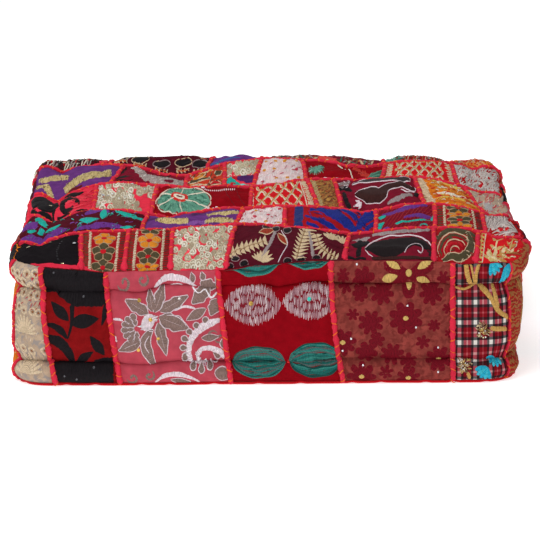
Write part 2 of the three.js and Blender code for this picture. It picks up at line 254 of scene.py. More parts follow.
UPPER_LEVEL = [119, 119.5, 117.4, 116.5, 118, 116.3, 114.2, 115.3, 119.5, 123, 123.7, 122.6, 120.5, 119.5,
               122.6, 123.7, 124.7, 119.5, 122.6, 125.8, 123.7, 122.6, 122.6, 124.7, 123.7, 121.6, 121, 121]
LOWER_AT = [-291, -253, -190, -169, -142, -128, -107, -91, -67, -20, 20, 60, 100, 150, 200, 222, 243, 291]
LOWER_LEVEL = [30, 31, 30.5, 28, 27, 29, 31.7, 30, 29, 28, 29, 30, 32, 31, 30, 32, 30, 28]
CREASES = ((118.5, 12.0, UPPER_AT, UPPER_LEVEL), (28.5, 10.0, LOWER_AT, LOWER_LEVEL))
CREASE_SPREAD = 2.8
FAINT = ([-300, 62, 90, 195, 216, 300], [1, 1, 0.3, 0.3, 0.9, 1])
PINCHES = round(ROUND / 66)
SLACK = [(-400, 130, 84, 46, 5.5), (400, 140, 72, 56, 6.3), (-590, 110, 150, 35, 4.0),
         (462, 66, 150, 22, -4.5)]


def outline(s):
    """Places on the pouf's outline and the ways out of it, at distances round it from the front's middle."""
    s = np.asarray(s, float) + SIDE / 2
    side = np.floor(s / SIDE).astype(int) % 4
    t = s % SIDE - SIDE / 2
    turn = np.clip(np.abs(t) - STRAIGHT, 0, None) / CORNER
    along = np.sign(t) * np.where(turn > 0, STRAIGHT + CORNER * np.sin(turn), np.abs(t))
    out = HALF - CORNER * (1 - np.cos(turn))
    place = along[..., None] * SIDE_ALONG[side] + out[..., None] * SIDE_OUT[side]
    aside, ahead = np.sign(t) * np.sin(turn), np.cos(turn)
    return place, aside[..., None] * SIDE_ALONG[side] + ahead[..., None] * SIDE_OUT[side]


def from_middle(s):
    """The same distance round the pouf, between half a round back and half a round on."""
    return (s + ROUND / 2) % ROUND - ROUND / 2


def rim(s):
    """Level of the seam between band and top, in millimetres."""
    s = (np.asarray(s, float) + SIDE / 2) % ROUND - SIDE / 2
    return np.interp(s, RIM_AT, RIM_LEVEL)


def ripple(x, y, length, seed):
    """Uneven soft waves of about that length, from -1 to 1."""
    draw = random.Random(seed)
    waves = 0
    for _ in range(6):
        way = draw.uniform(0, math.tau)
        pitch = length * draw.uniform(0.7, 1.5)
        slant = x * math.cos(way) + y * math.sin(way)
        waves = waves + np.sin(math.tau * slant / pitch + draw.uniform(0, 6))
    return waves / 4


def beats(count):
    """Turns of a wave that comes back that many times round the pouf."""
    return math.tau * count * band_s / ROUND


def sample(grid, a, b, around=False):
    """The grid's value at fractional row a and column b."""
    rows, columns = grid.shape[:2]
    b = b % columns if around else np.clip(b, 0, columns - 1.001)
    a = np.clip(a, 0, rows - 1.001)
    i, j = np.floor(a).astype(int), np.floor(b).astype(int)
    u, v = a - i, b - j
    if grid.ndim == 3:
        u, v = u[..., None], v[..., None]
    beyond = (j + 1) % columns
    return ((grid[i, j] * (1 - u) + grid[i + 1, j] * u) * (1 - v)
            + (grid[i, beyond] * (1 - u) + grid[i + 1, beyond] * u) * v)


def seam_gathers(away, along):
    """How a seam draws the cloth in: a valley at the seam and small gathers that run out from it."""
    valley = -1.5 * np.exp(-(away / 3.2) ** 2)
    phase = 1.4 * np.sin(along / 21) + 1.1 * np.sin(along / 7.7 + 1)
    gathers = 0.75 * np.sin(math.tau * along / 10.5 + phase) * (0.65 + 0.35 * np.sin(along / 31))
    return valley + gathers * np.exp(-away / 9) * (1 - np.exp(-(away / 2.5) ** 2))


cover_tree = BVHTree.FromObject(filled, bpy.context.evaluated_depsgraph_get())
band_s = np.arange(BAND_COLUMNS) * ROUND / BAND_COLUMNS
band_rim = rim(band_s)
band_place, band_way = outline(band_s)
band_inset = np.zeros((BAND_ROWS, BAND_COLUMNS))
for column in range(BAND_COLUMNS):
    place, way = band_place[column] + MIDDLE, band_way[column]
    start = place + way * OUTSIDE
    for row in range(BAND_ROWS):
        level = band_rim[column] * row / (BAND_ROWS - 1)
        for lower in range(9):
            hit = cover_tree.ray_cast(Vector((*start, max(1.5, level) - lower)) * MM, Vector((*-way, 0)))[3]
            if hit is not None and hit < 100 * MM:
                break
        band_inset[row, column] = (hit or OUTSIDE * MM) / MM - OUTSIDE

seam_at = []
for side, name in enumerate(BAND_CORDS):
    for line in band_lines[name]:
        flat = line[:, :2] - MIDDLE
        tries = np.arange(side * SIDE - SIDE / 2, side * SIDE + SIDE / 2, 0.5)
        near = outline(tries)[0]
        s = [tries[np.argmin(((near - p) ** 2).sum(axis=1))] for p in flat]
        seam_at.append(np.polyfit(line[:, 2], s, 2))
seam_at.sort(key=lambda bend: np.polyval(bend, 70))

band_z = np.linspace(0, 1, BAND_ROWS)[:, None] * band_rim[None, :]
band_s_all = np.broadcast_to(band_s[None, :], band_z.shape)
band_sag = np.zeros(band_z.shape)
front_s = from_middle(band_s)
in_front = np.clip((SIDE / 2 + 30 - np.abs(front_s)) / 30, 0, 1)
for middle, depth, crease_at, crease_level in CREASES:
    wander = 2.6 * np.sin(beats(2)) + 1.3 * np.sin(beats(13) + middle)
    drawn_level = np.interp(front_s, crease_at, crease_level)
    off = band_z - (middle + wander) * (1 - in_front) - drawn_level * in_front
    faint = np.interp(front_s, *FAINT) if middle < 60 else 1
    beat = 0.5 + 0.5 * np.cos(beats(PINCHES) + 0.9 * np.sin(beats(3)))
    uneven = 0.75 + 0.25 * np.sin(beats(11) + middle)
    roll = 1.5 * np.exp(-((off - 20) / 10) ** 2) * faint
    band_inset += faint * uneven * 3.5 * np.exp(-(off / 9) ** 2) - roll
    gathers = np.cos(band_s / 4.3 + 2.0 * np.sin(band_s / 23 + middle)) + 0.6 * np.cos(band_s / 2.6 + middle)
    band_inset += 0.55 * faint * gathers * np.exp(-np.abs(off) / 11)
    spread = np.where(off < 0, CREASE_SPREAD, CREASE_SPREAD * 1.7)
    band_inset += depth * faint * uneven * np.exp(-np.abs(off) / spread)
    band_sag += faint * (1.8 * np.exp(-((off + 4.5) / 4.5) ** 2) - 5.0 * np.exp(-((off - 3.5) / 5) ** 2))
    band_inset += 3.2 * beat ** 4 * np.exp(-(off / 9) ** 2)
    drawn = np.exp(-np.abs(off) / 10) * (1 - np.exp(-(off / 3) ** 2))
    band_inset -= 0.8 * drawn * ripple(band_s_all, band_z * 0.2, 13, 5 + middle)
band_inset -= 0.7 * ripple(band_s_all, band_z, 55, 21) * np.sin(np.pi * np.clip(band_z / 143, 0, 1))
for middle, half, level, tall, depth in SLACK:
    off = from_middle(band_s_all - middle)
    band_inset += depth * np.exp(-((off / half) ** 4) - ((band_z - level) / tall) ** 4)
seam_away = np.full(band_z.shape, 99.0)
for bend in seam_at:
    seam_away = np.minimum(seam_away, np.abs(from_middle(band_s_all - np.polyval(bend, band_z))))
band_inset -= seam_gathers(seam_away, band_z + 40)
band_inset -= seam_gathers(np.abs(band_rim[None, :] - band_z), band_s_all)


def band_spot(s, z):
    """Places on the band's skin, in millimetres of the frame."""
    place, way = outline(s)
    row, column = z / rim(s) * (BAND_ROWS - 1), (s % ROUND) / ROUND * BAND_COLUMNS
    inset, sag = sample(band_inset, row, column, True), sample(band_sag, row, column, True)
    return np.concatenate([place + MIDDLE - way * inset[..., None], (z + sag)[..., None]], axis=-1)


def unit(ways, least=0.0):
    """The same ways, each of length one."""
    return ways / (np.linalg.norm(ways, axis=-1, keepdims=True) + least)


def lifted(spot, a, b, height):
    """Places on a skin raised by that height along the skin's own normal."""
    across = spot(a + 1.0, b) - spot(a - 1.0, b)
    up = spot(a, b + 1.0) - spot(a, b - 1.0)
    return spot(a, b) + unit(np.cross(across, up), 1e-9) * np.asarray(height)[..., None]


# Top: the same cotton cover seen from above. It is drawn down along every seam and at the four thread tufts
# that go through the filling, and sags a little where it has been sat on.
PUFF = 1.3
TUFT_DEPTH = 4.0
TOP_REACH = 303
LOWEST_TOP = 110
top_axis = np.arange(-TOP_REACH, TOP_REACH + 1, CELL)
top_height = np.full((len(top_axis), len(top_axis)), np.nan)
for row, y in enumerate(top_axis):
    for column, x in enumerate(top_axis):
        hit = cover_tree.ray_cast(Vector((x + MIDDLE[0], y + MIDDLE[1], 400)) * MM, Vector((0, 0, -1)))[0]
        if hit is not None and hit.z > LOWEST_TOP * MM:
            top_height[row, column] = hit.z / MM
while np.isnan(top_height).any():
    padded_height = np.pad(top_height, 1, constant_values=np.nan)
    around = np.array([padded_height[1 + i:1 + i + len(top_axis), 1 + j:1 + j + len(top_axis)]
                       for i in (-1, 0, 1) for j in (-1, 0, 1)])
    known = ~np.isnan(around)
    mean = np.where(known, around, 0).sum(axis=0) / np.maximum(known.sum(axis=0), 1)
    mean[known.sum(axis=0) == 0] = np.nan
    top_height = np.where(np.isnan(top_height), mean, top_height)

row_at = [(line[:, 0] - MIDDLE[0], line[:, 1] - MIDDLE[1]) for line in row_lines]
cross_at = [[np.polyfit(line[:, 1] - MIDDLE[1], line[:, 0] - MIDDLE[0], 1) for line in row]
            for row in cross_lines]
SAG_AT = [-300, -284, -272, -262, -248, -236, -210, -170, -130, -100, -80, -50, -20, 20, 60, 90, 110, 140,
          170, 200, 240, 262, 280, 300]
ROW_SAG = [
    [-1, -3, -3.5, 1.5, 1, 0.5, 1.5, 1, 1, 3, 2, 1, 0.5, 0.5, 0.5, 0, -0.5, -0.5, 0.5, 1.2, 0.5, 0.5, 0, -3],
    [2, 2, 1, -5, -3.5, 0.5, 2.3, 1, 1, 2.5, 0.5, 1.8, 0.5, 0.5, 2.2, 0.5, 1.2, 2, 2.8, 1, 0.5, 1.5, -6, -1],
    [2.5, 3, 0, -4, 0, 1, 3.5, 3.5, 3, 0, 2.5, 5, -1.5, -0.5, 2, 0.5, -0.5, 0.5, 0.5, -0.5, -1.5, -1, -4, -2],
    [6.5, 6.5, 6, 2, 3, 1.5, 1.8, 0, -7, -5, -4, -1, -1, -1, 0.5, 3, 2, 1.8, 3.5, 4.2, 4, 4, 6, 6],
    [0, 0, 0, 0, -1, -1, -2, -4, -4, -4, -3, -3.5, -4.5, -4, -6, -6.5, -5.5, -2, -1.5, -2.5, -0.5, 1.5, 3, 1],
]
BACK_SWELL = 284


def row_seam(row, x):
    """Where the seam behind that row of patches runs, as y at x."""
    return np.interp(x, *row_at[row])


seam_spots = []
for row in range(4):
    x = np.arange(-298, 299, 2.0)
    seam_spots += [(a, b, a) for a, b in zip(x, row_seam(row, x))]
for row, seams in enumerate(cross_at):
    for bend in seams:
        x = np.polyval(bend, 0)
        ends = (-296 if row == 0 else row_seam(row - 1, x), 296 if row == 4 else row_seam(row, x))
        seam_spots += [(np.polyval(bend, y), y, y) for y in np.arange(*ends, 2.0)]
rim_s = np.arange(0, ROUND, 2.0)
rim_spot = band_spot(rim_s, rim(rim_s))
seam_spots += [(x - MIDDLE[0], y - MIDDLE[1], s) for (x, y, _), s in zip(rim_spot, rim_s)]
seam_tree = nearest_of([(x, y, 0) for x, y, _ in seam_spots])
top_x, top_y = np.meshgrid(top_axis, top_axis)
found = [seam_tree.find((x, y, 0)) for x, y in zip(top_x.ravel(), top_y.ravel())]
away = np.array([f[2] for f in found]).reshape(top_x.shape)
along = np.array([seam_spots[f[1]][2] for f in found]).reshape(top_x.shape)
top_height += seam_gathers(away, along) + PUFF * (1 - np.exp(-(away / 15) ** 2)) - PUFF
top_height += 1.1 * ripple(top_x, top_y, 60, 4) + 0.55 * ripple(top_x, top_y * 0.7, 22, 9)
for row, sags in enumerate(ROW_SAG):
    off = top_y - (row_seam(row, top_x) if row < 4 else BACK_SWELL)
    top_height += np.interp(top_x, SAG_AT, sags) * np.exp(-(off / 42) ** 2)
for index, (x, y) in enumerate(TUFTS):
    reach = np.hypot(top_x - x, top_y - y)
    round_it = np.arctan2(top_y - y, top_x - x)
    folds = np.cos(6 * round_it + index) + 0.5 * np.cos(11 * round_it + 2 * index)
    top_height += 1.8 * folds * np.exp(-((reach - 18) / 15) ** 2)
    top_height -= TUFT_DEPTH * np.exp(-reach / 16)


def top_spot(x, y):
    """Places on the top's skin, in millimetres of the frame."""
    z = sample(top_height, (y + TOP_REACH) / CELL, (x + TOP_REACH) / CELL)
    return np.stack([x + MIDDLE[0], y + MIDDLE[1], z], axis=-1)


# Cover under the patches: it keeps just below them, so it is drawn in where the mattress stitches and tufts
# draw them in, and lies flat on the floor under its foot.
BEHIND_BAND = 2.6
UNDER_TOP = 2.2
EDGE_REACH = 24
FOOT_LEVEL = 0.15


def lay_out(thing, flat):
    """Gives each corner of a piece the place, in centimetres, where its cloth lies flat."""
    corner = np.empty(len(thing.data.loops), dtype=np.int32)
    thing.data.loops.foreach_get("vertex_index", corner)
    thing.data.uv_layers.new(name="cloth").data.foreach_set("uv", flat[corner].ravel())
    return corner


cover_now = coordinates(filled) / MM
tries = np.arange(0, ROUND, 2.0)
edge_tree = nearest_of([(*place, 0) for place in outline(tries)[0]])
for index, (x, y) in enumerate(cover_now[:, :2] - MIDDLE):
    z = cover_now[index, 2]
    _, which, reach = edge_tree.find((x, y, 0))
    if z < 2:
        cover_now[index, 2] = max(z, FOOT_LEVEL)
    elif reach < EDGE_REACH and z < rim(tries[which]) - 1:
        s = np.array([tries[which]])
        spot = band_spot(s, np.array([z]))[0]
        cover_now[index, :2] = spot[:2] - outline(s)[1][0] * BEHIND_BAND
    elif z > LOWEST_TOP:
        cover_now[index, 2] = min(z, top_spot(np.array([x]), np.array([y]))[0][2] - UNDER_TOP)
filled.data.vertices.foreach_set("co", (cover_now * MM).ravel())
filled.data.update()
lay_out(filled, np.stack([cover_now[:, 0] / 10, cover_now[:, 1] / 10 + cover_now[:, 2] / 10], axis=-1))
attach(filled, "root")
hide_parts("cushion")

# Patches: pieces of old embroidered clothes, cut square and sewn edge to edge over the cover. Each is one
# thin cloth, cut a little over its place and turned in at the seams.
PATCH_LIFT = 0.9
PATCH_THICK = 0.6
TOP_CELLS = 196
SNAP = 0.56 * CELL


def patch_piece(name, spots, flat, mine):
    """One cloth of the faces that are marked, from a net of places and of their places laid flat."""
    rows, columns = np.where(mine)
    low_row, high_row, low_column, high_column = rows.min(), rows.max() + 1, columns.min(), columns.max() + 1
    spots = spots[low_row:high_row + 1, low_column:high_column + 1].reshape(-1, 3)
    flat = flat[low_row:high_row + 1, low_column:high_column + 1].reshape(-1, 2)
    keep = mine[low_row:high_row, low_column:high_column]
    shape = bmesh.new()
    bmesh.ops.create_grid(shape, x_segments=keep.shape[1], y_segments=keep.shape[0], size=1)
    places = shape.verts.layers.int.new("place")
    for index, (vert, place) in enumerate(zip(shape.verts, spots * MM)):
        vert.co = place
        vert[places] = index
    width = keep.shape[1] + 1
    lows = [min(vert.index for vert in face.verts) for face in shape.faces]
    away = [face for face, low in zip(shape.faces, lows) if not keep[low // width, low % width]]
    bmesh.ops.delete(shape, geom=away, context="FACES")
    piece = new_object(name, shape)
    place = np.empty(len(piece.data.vertices), dtype=np.int32)
    piece.data.attributes["place"].data.foreach_get("value", place)
    flat = flat[place]
    lies = flat[lay_out(piece, flat / 10)]
    four = lies.reshape(-1, 4, 2)
    first, second = four[:, 2] - four[:, 0], four[:, 3] - four[:, 1]
    area = np.abs(first[:, 0] * second[:, 1] - first[:, 1] * second[:, 0]).sum() / 2
    width, length = lies.max(axis=0) - lies.min(axis=0)
    piece.data.attributes.remove(piece.data.attributes["place"])
    thick = piece.modifiers.new("thickness", "SOLIDIFY")
    thick.thickness = PATCH_THICK * MM
    thick.offset = -1
    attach(piece, "root")
    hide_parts("cushion")
    area = float(min(area, width * length)) * MM * MM
    width, length = float(width) * MM, float(length) * MM
    return piece


def boundary(first, last):
    s = np.linspace(first, last, TOP_CELLS + 1)
    return band_spot(s, rim(s))


def pull_to_seam(net, off, near):
    """Moves the cells' corners that lie near a seam onto it."""
    near = near & (np.abs(off) < SNAP)
    net[near] += off[near]


def rim_raised(places):
    """Places of the rim, raised outwards to where the patches lie."""
    return places + unit(places - np.array([*MIDDLE, 60])) * PATCH_LIFT


def middles(net):
    """The middle of each cell of a net."""
    return (net[:-1, :-1] + net[1:, :-1] + net[:-1, 1:] + net[1:, 1:]) / 4


front_edge = boundary(-SIDE / 2, SIDE / 2)
right_edge = boundary(SIDE / 2, SIDE * 1.5)
back_edge = boundary(SIDE * 2.5, SIDE * 1.5)
left_edge = boundary(SIDE * 3.5, SIDE * 2.5)
left_edge[0], right_edge[0] = front_edge[0], front_edge[-1]
left_edge[-1], right_edge[-1] = back_edge[0], back_edge[-1]
share = np.linspace(0, 1, TOP_CELLS + 1)
u, v = share[None, :, None], share[:, None, None]
top_net = ((1 - v) * front_edge[None] + v * back_edge[None]
           + (1 - u) * left_edge[:, None] + u * right_edge[:, None]
           - (1 - u) * (1 - v) * front_edge[0] - u * (1 - v) * front_edge[-1]
           - (1 - u) * v * back_edge[0] - u * v * back_edge[-1])
net_x, net_y = top_net[..., 0] - MIDDLE[0], top_net[..., 1] - MIDDLE[1]
inner = np.zeros(net_x.shape, bool)
inner[1:-1, 1:-1] = True
for row in range(4):
    pull_to_seam(net_y, row_seam(row, net_x) - net_y, inner)
for row, seams in enumerate(cross_at):
    low = -400 if row == 0 else row_seam(row - 1, net_x) - 0.1
    high = 400 if row == 4 else row_seam(row, net_x) + 0.1
    for bend in seams:
        pull_to_seam(net_x, np.polyval(bend, net_y) - net_x, inner & (net_y >= low) & (net_y <= high))
top_sheet = lifted(top_spot, net_x, net_y, np.full(net_x.shape, PATCH_LIFT))
top_sheet[~inner] = rim_raised(top_net[~inner])
face_x, face_y = middles(net_x), middles(net_y)
face_row = sum((face_y > row_seam(row, face_x)).astype(int) for row in range(4))
patches = {}
top_flat = np.stack([net_x, net_y], axis=-1)
for row, seams in enumerate(cross_at):
    column = sum((face_x > np.polyval(bend, face_y)).astype(int) for bend in seams)
    for number in range(len(seams) + 1):
        name = f"top_patch_{row + 1}_{number + 1}"
        patches[name] = patch_piece(name, top_sheet, top_flat, (face_row == row) & (column == number))

first_seam = np.polyval(seam_at[0], 70)
band_cut = np.arange(BAND_COLUMNS + 1) * ROUND / BAND_COLUMNS + first_seam
net_s = np.repeat(band_cut[None, :], BAND_ROWS, axis=0)
net_z = np.linspace(0.012, 1, BAND_ROWS)[:, None] * rim(net_s)
from_end = np.minimum(np.arange(BAND_COLUMNS + 1), np.arange(BAND_COLUMNS + 1)[::-1]) * CELL
net_s = net_s + (np.polyval(seam_at[0], net_z) - first_seam) * np.clip(1 - from_end / 45, 0, 1)
for bend in seam_at + [seam_at[0] + np.array((0, 0, ROUND))]:
    pull_to_seam(net_s, np.polyval(bend, net_z) - net_s, True)
band_sheet = lifted(band_spot, net_s, net_z, np.full(net_s.shape, PATCH_LIFT))
band_sheet[-1] = rim_raised(band_spot(net_s[-1], net_z[-1]))
face_s, face_z = middles(net_s), middles(net_z)
column = sum((face_s > np.polyval(bend, face_z)).astype(int) for bend in seam_at)
column = np.clip(column, 1, len(seam_at))
band_flat = np.stack([net_s, net_z], axis=-1)
for number in range(1, len(seam_at) + 1):
    name = f"band_patch_{number}"
    patches[name] = patch_piece(name, band_sheet, band_flat, column == number)

# Seam cords: a twisted cord of coral cotton is laid along each seam and couched down with orange thread,
# which nips it every finger's breadth. On the front row their ends are knotted at the edge.
CORD_HALF_WIDE = 3.2
CORD_HALF_HIGH = 2.5
CORD_STEP = 2.2
CORD_ROUND = 8
CORD_TWIST = 15
STITCH_EVERY = 13.5
STITCH_HALF = 0.62
TAPE_STEP = 2.6
TAPE_HALF = 3.6
MERGE = 0.02
THIN_SEAM = 5
CORAL = (0.70, 0.026, 0.060)
ORANGE = (0.86, 0.17, 0.015)


def run_along(line):
    """Lengths along a line, from its start."""
    return np.concatenate([[0], np.cumsum(np.linalg.norm(np.diff(line, axis=0), axis=1))])


def grid_of(across, along):
    """Flat places of a net, from its columns and its rows."""
    return np.stack(np.broadcast_arrays(across, along[:, None]), axis=-1)


class Sewing:
    """Threads and small pieces that are sewn on as one: each is a little net with its own colour."""

    def __init__(self):
        self.nets = []

    def add(self, spots, colour, laid=None):
        rows, columns = spots.shape[:2]
        if laid is None:
            laid = grid_of(np.linspace(0, 1, columns)[None, :], run_along(spots[:, columns // 2]))
        colour = np.broadcast_to(np.asarray(colour, float), (rows, columns, 3))
        self.nets.append((spots, colour, laid))

    def piece(self, name, paint, merge=0.0):
        """Makes the nets into one mesh; nets that are rolled into tubes are merged along their edges."""
        shape = bmesh.new()
        for spots, _, _ in self.nets:
            shape.from_mesh(net_form(*spots.shape[:2]))
        made = new_object(name, shape)
        places = np.concatenate([spots.reshape(-1, 3) for spots, _, _ in self.nets]) * MM
        colours = np.concatenate([colour.reshape(-1, 3) for _, colour, _ in self.nets])
        lies = np.concatenate([laid.reshape(-1, 2) for _, _, laid in self.nets])
        made.data.vertices.foreach_set("co", places.ravel())
        tint = made.data.attributes.new("thread", "FLOAT_COLOR", "POINT")
        tint.data.foreach_set("color", np.insert(colours, 3, 1, axis=1).ravel())
        lay_out(made, lies)
        if merge:
            joined = bmesh.new()
            joined.from_mesh(made.data)
            bmesh.ops.remove_doubles(joined, verts=joined.verts, dist=merge * MM)
            joined.to_mesh(made.data)
            joined.free()
        made.data.update()
        made.data.materials.append(paint)
        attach(made, "root")
        return made


net_forms = {}


def net_form(rows, columns):
    """A flat net with that many knots each way."""
    if (rows, columns) not in net_forms:
        shape = bmesh.new()
        bmesh.ops.create_grid(shape, x_segments=columns - 1, y_segments=rows - 1, size=1)
        net_forms[rows, columns] = bpy.data.meshes.new(f"net_{rows}_{columns}")
        shape.to_mesh(net_forms[rows, columns])
        shape.free()
    return net_forms[rows, columns]


def smooth_line(points, step):
    """The same line at even steps, with its corners eased."""
    points = np.asarray(points, float)
    run = run_along(points)
    even = np.linspace(0, run[-1], max(3, int(run[-1] / step) + 1))
    line = np.stack([np.interp(even, run, points[:, axis]) for axis in range(points.shape[1])], axis=-1)
    for _ in range(3):
        line[1:-1] = (line[:-2] + 2 * line[1:-1] + line[2:]) / 4
    return line


def cord_on(sewing, spot, line, seed, knot=False, apart=STITCH_EVERY, half=CORD_HALF_WIDE):
    """Lays one cord along a line of the skin, and couches it down."""
    line = smooth_line(line, CORD_STEP)
    a, b = line[:, 0], line[:, 1]
    centre = lifted(spot, a, b, np.full(len(a), PATCH_LIFT + CORD_HALF_HIGH * 0.55))
    normal = unit(lifted(spot, a, b, np.full(len(a), 5.0)) - lifted(spot, a, b, np.zeros(len(a))))
    run = run_along(centre)
    draw = random.Random(seed)
    right = np.cross(unit(np.gradient(centre, axis=0)), normal)
    stitches = np.arange(draw.uniform(5, 9), run[-1] - 4, apart)
    stitches = stitches + np.array([draw.uniform(-2.5, 2.5) for _ in stitches])
    nip = np.exp(-((run[:, None] - stitches[None, :]) / 2.4) ** 2).max(axis=1, initial=0)
    size = (1.08 - 0.26 * nip) * (1 + 0.10 * np.sin(run / 5.1 + seed))
    if knot:
        size = size * (1 + 0.75 * np.exp(-((run - run[0] - 5) / 5.0) ** 2))
    ends = np.sqrt(np.clip(np.minimum(run + 0.02, run[-1] - run + 0.02) / 3.0, 0, 1))
    size = size * ends
    turn = -np.linspace(0, math.tau, CORD_ROUND + 1)
    twist = 1 + 0.15 * np.cos(2 * (turn[None, :] - math.tau * run[:, None] / CORD_TWIST))
    ring = (right[:, None] * (np.cos(turn)[None, :] * half * size[:, None] * twist)[..., None]
            + normal[:, None] * (np.sin(turn)[None, :] * CORD_HALF_HIGH * size[:, None] * twist)[..., None])
    ring[:, -1] = ring[:, 0]
    around = np.linspace(0, 1, CORD_ROUND + 1)
    laid = grid_of(around[None, :], run / 10)
    shade = 0.93 + 0.07 * np.sin(run / 17 + seed)
    sewing.add(centre[:, None] + ring, np.array(CORAL) * shade[:, None, None], laid)
    over = np.radians(np.linspace(-25, 205, 7))
    wide, high = half * 0.90 + 0.35, CORD_HALF_HIGH * 0.90 + 0.35
    for at in stitches:
        lean = draw.choice((-1, 1)) * draw.uniform(1.0, 2.6)
        rows = np.interp(at + lean * np.cos(over), run, np.arange(len(run)))
        low = np.clip(np.floor(rows).astype(int), 0, len(run) - 2)
        part = (rows - low)[:, None]
        mid = centre[low] * (1 - part) + centre[low + 1] * part
        aside, above = np.cos(over), np.sin(over)
        place = mid + right[low] * (aside * wide)[:, None] + normal[low] * (above * high)[:, None]
        outward = right[low] * aside[:, None] + normal[low] * above[:, None]
        side = unit(np.cross(np.gradient(place, axis=0), outward)) * STITCH_HALF
        foot = outward * 0.5
        sewing.add(np.stack([place + side - foot, place + outward * 0.25, place - side - foot], axis=1),
                   ORANGE)


def tape_on(sewing, spot, line, seed, half):
    """The strip of coral cotton that the cord is laid on, uneven in width and puckered."""
    line = smooth_line(line, TAPE_STEP)
    way = unit(np.gradient(line, axis=0))
    right = np.stack([way[:, 1], -way[:, 0]], axis=-1)
    run = np.arange(len(line)) * TAPE_STEP
    draw = random.Random(seed)
    phase = draw.uniform(0, 6)
    columns = np.array((-1.0, -0.55, 0.0, 0.55, 1.0))
    wide = [half * (1 + 0.25 * np.sin(run / pitch + phase + shift) + 0.12 * np.sin(run / 2.3 + shift))
            for pitch, shift in ((19, 0), (27, 2))]
    reach = np.where(columns[None, :] < 0, wide[0][:, None], wide[1][:, None])
    net = line[:, None] + right[:, None] * (columns[None, :] * reach)[..., None]
    high = PATCH_LIFT + 0.45 + 0.3 * np.sin(run / 1.6 + phase)[:, None] * np.abs(columns)[None, :]
    high = high - 0.9 * (np.abs(columns) > 0.9)[None, :]
    laid = grid_of(columns[None, :] * half / 10, run / 10)
    sewing.add(lifted(spot, net[..., 0], net[..., 1], high), np.array(CORAL) * draw.uniform(0.85, 1.0), laid)


def add_node(tree, kind, **values):
    """A shader node: names in small letters are its settings, and the others its inputs, given or linked."""
    made = tree.nodes.new(f"ShaderNode{kind}")
    for name, value in values.items():
        if name.islower():
            setattr(made, name, value)
        elif isinstance(value, bpy.types.NodeSocket):
            tree.links.new(value, made.inputs[name.replace("_", " ")])
        else:
            made.inputs[name.replace("_", " ")].default_value = value
    return made


def stretched(tree, value, low, high, to_low=0.0, to_high=1.0):
    """A grey pattern whose values from low to high are spread over another range."""
    settings = {"From_Min": low, "From_Max": high, "To_Min": to_low, "To_Max": to_high}
    return add_node(tree, "MapRange", Value=value, **settings).outputs["Result"]


def product(tree, first, second):
    """One grey pattern times another, or times a number."""
    both = add_node(tree, "Math", operation="MULTIPLY", Value=first)
    if isinstance(second, float):
        both.inputs[1].default_value = second
    else:
        tree.links.new(second, both.inputs[1])
    return both.outputs["Value"]


def new_paint(name, roughness, sheen, specular=0.03):
    """A paint, its tree and shader, and the flat places of the cloth that it is on."""
    paint = bpy.data.materials.new(name)
    paint.use_nodes = True
    shader = paint.node_tree.nodes["Principled BSDF"]
    shader.inputs["Roughness"].default_value = roughness
    shader.inputs["Sheen Weight"].default_value = sheen
    shader.inputs["Specular IOR Level"].default_value = specular
    return paint, paint.node_tree, shader, add_node(paint.node_tree, "UVMap", uv_map="cloth").outputs["UV"]


def finish_paint(tree, shader, colour, height, bright=None, depth=0.5, distance=0.5):
    """Gives the shader its colour, times the given brightness (painted shade from the weave, and in threads
    also their streaks), and the weave as bump.
    """
    if bright is not None:
        scaled = add_node(tree, "VectorMath", operation="SCALE", Vector=colour, Scale=bright)
        colour = scaled.outputs["Vector"]
    tree.links.new(colour, shader.inputs["Base Color"])
    bump = add_node(tree, "Bump", Strength=depth, Distance=distance * MM, Height=height)
    tree.links.new(bump.outputs["Normal"], shader.inputs["Normal"])


def thread_paint(name, roughness=0.6, sheen=0.0, line=1.4, depth=0.35, streak=0.0):
    """Thread in the colour of each stitch: fine strands across it, painted darker in the grooves between them
    as painted shade, and streaks where threads differ.
    """
    paint, tree, shader, lies = new_paint(name, roughness, sheen, 0.06)
    colour = add_node(tree, "Attribute", attribute_name="thread").outputs["Color"]
    strands = add_node(tree, "TexWave", bands_direction="Y", Vector=lies, Scale=line, Distortion=1.5,
                       Detail=1.0)
    # painted shade: the colour is darker in the grooves between the strands and lighter on their tops
    bright = stretched(tree, strands.outputs["Fac"], 0, 1, 0.74, 1.12)
    if streak:
        long_way = add_node(tree, "Mapping", Vector=lies, Scale=(0.22, 0.75, 1)).outputs["Vector"]
        uneven = add_node(tree, "TexNoise", Vector=long_way, Scale=1.0, Detail=2.0).outputs["Fac"]
        bright = product(tree, bright, stretched(tree, uneven, 0.32, 0.68, 1 - streak, 1 + streak * 0.45))
    finish_paint(tree, shader, colour, strands.outputs["Fac"], bright, depth, 0.4)
    return paint


def edge_run(edge, key, value):
    """Where the top's edge runs on one side, as a function of the place along it."""
    order = np.argsort(edge[:, key])
    a, b = (edge[order, key] - MIDDLE[key], edge[order, value] - MIDDLE[value])
    return lambda at: np.interp(at, a, b)


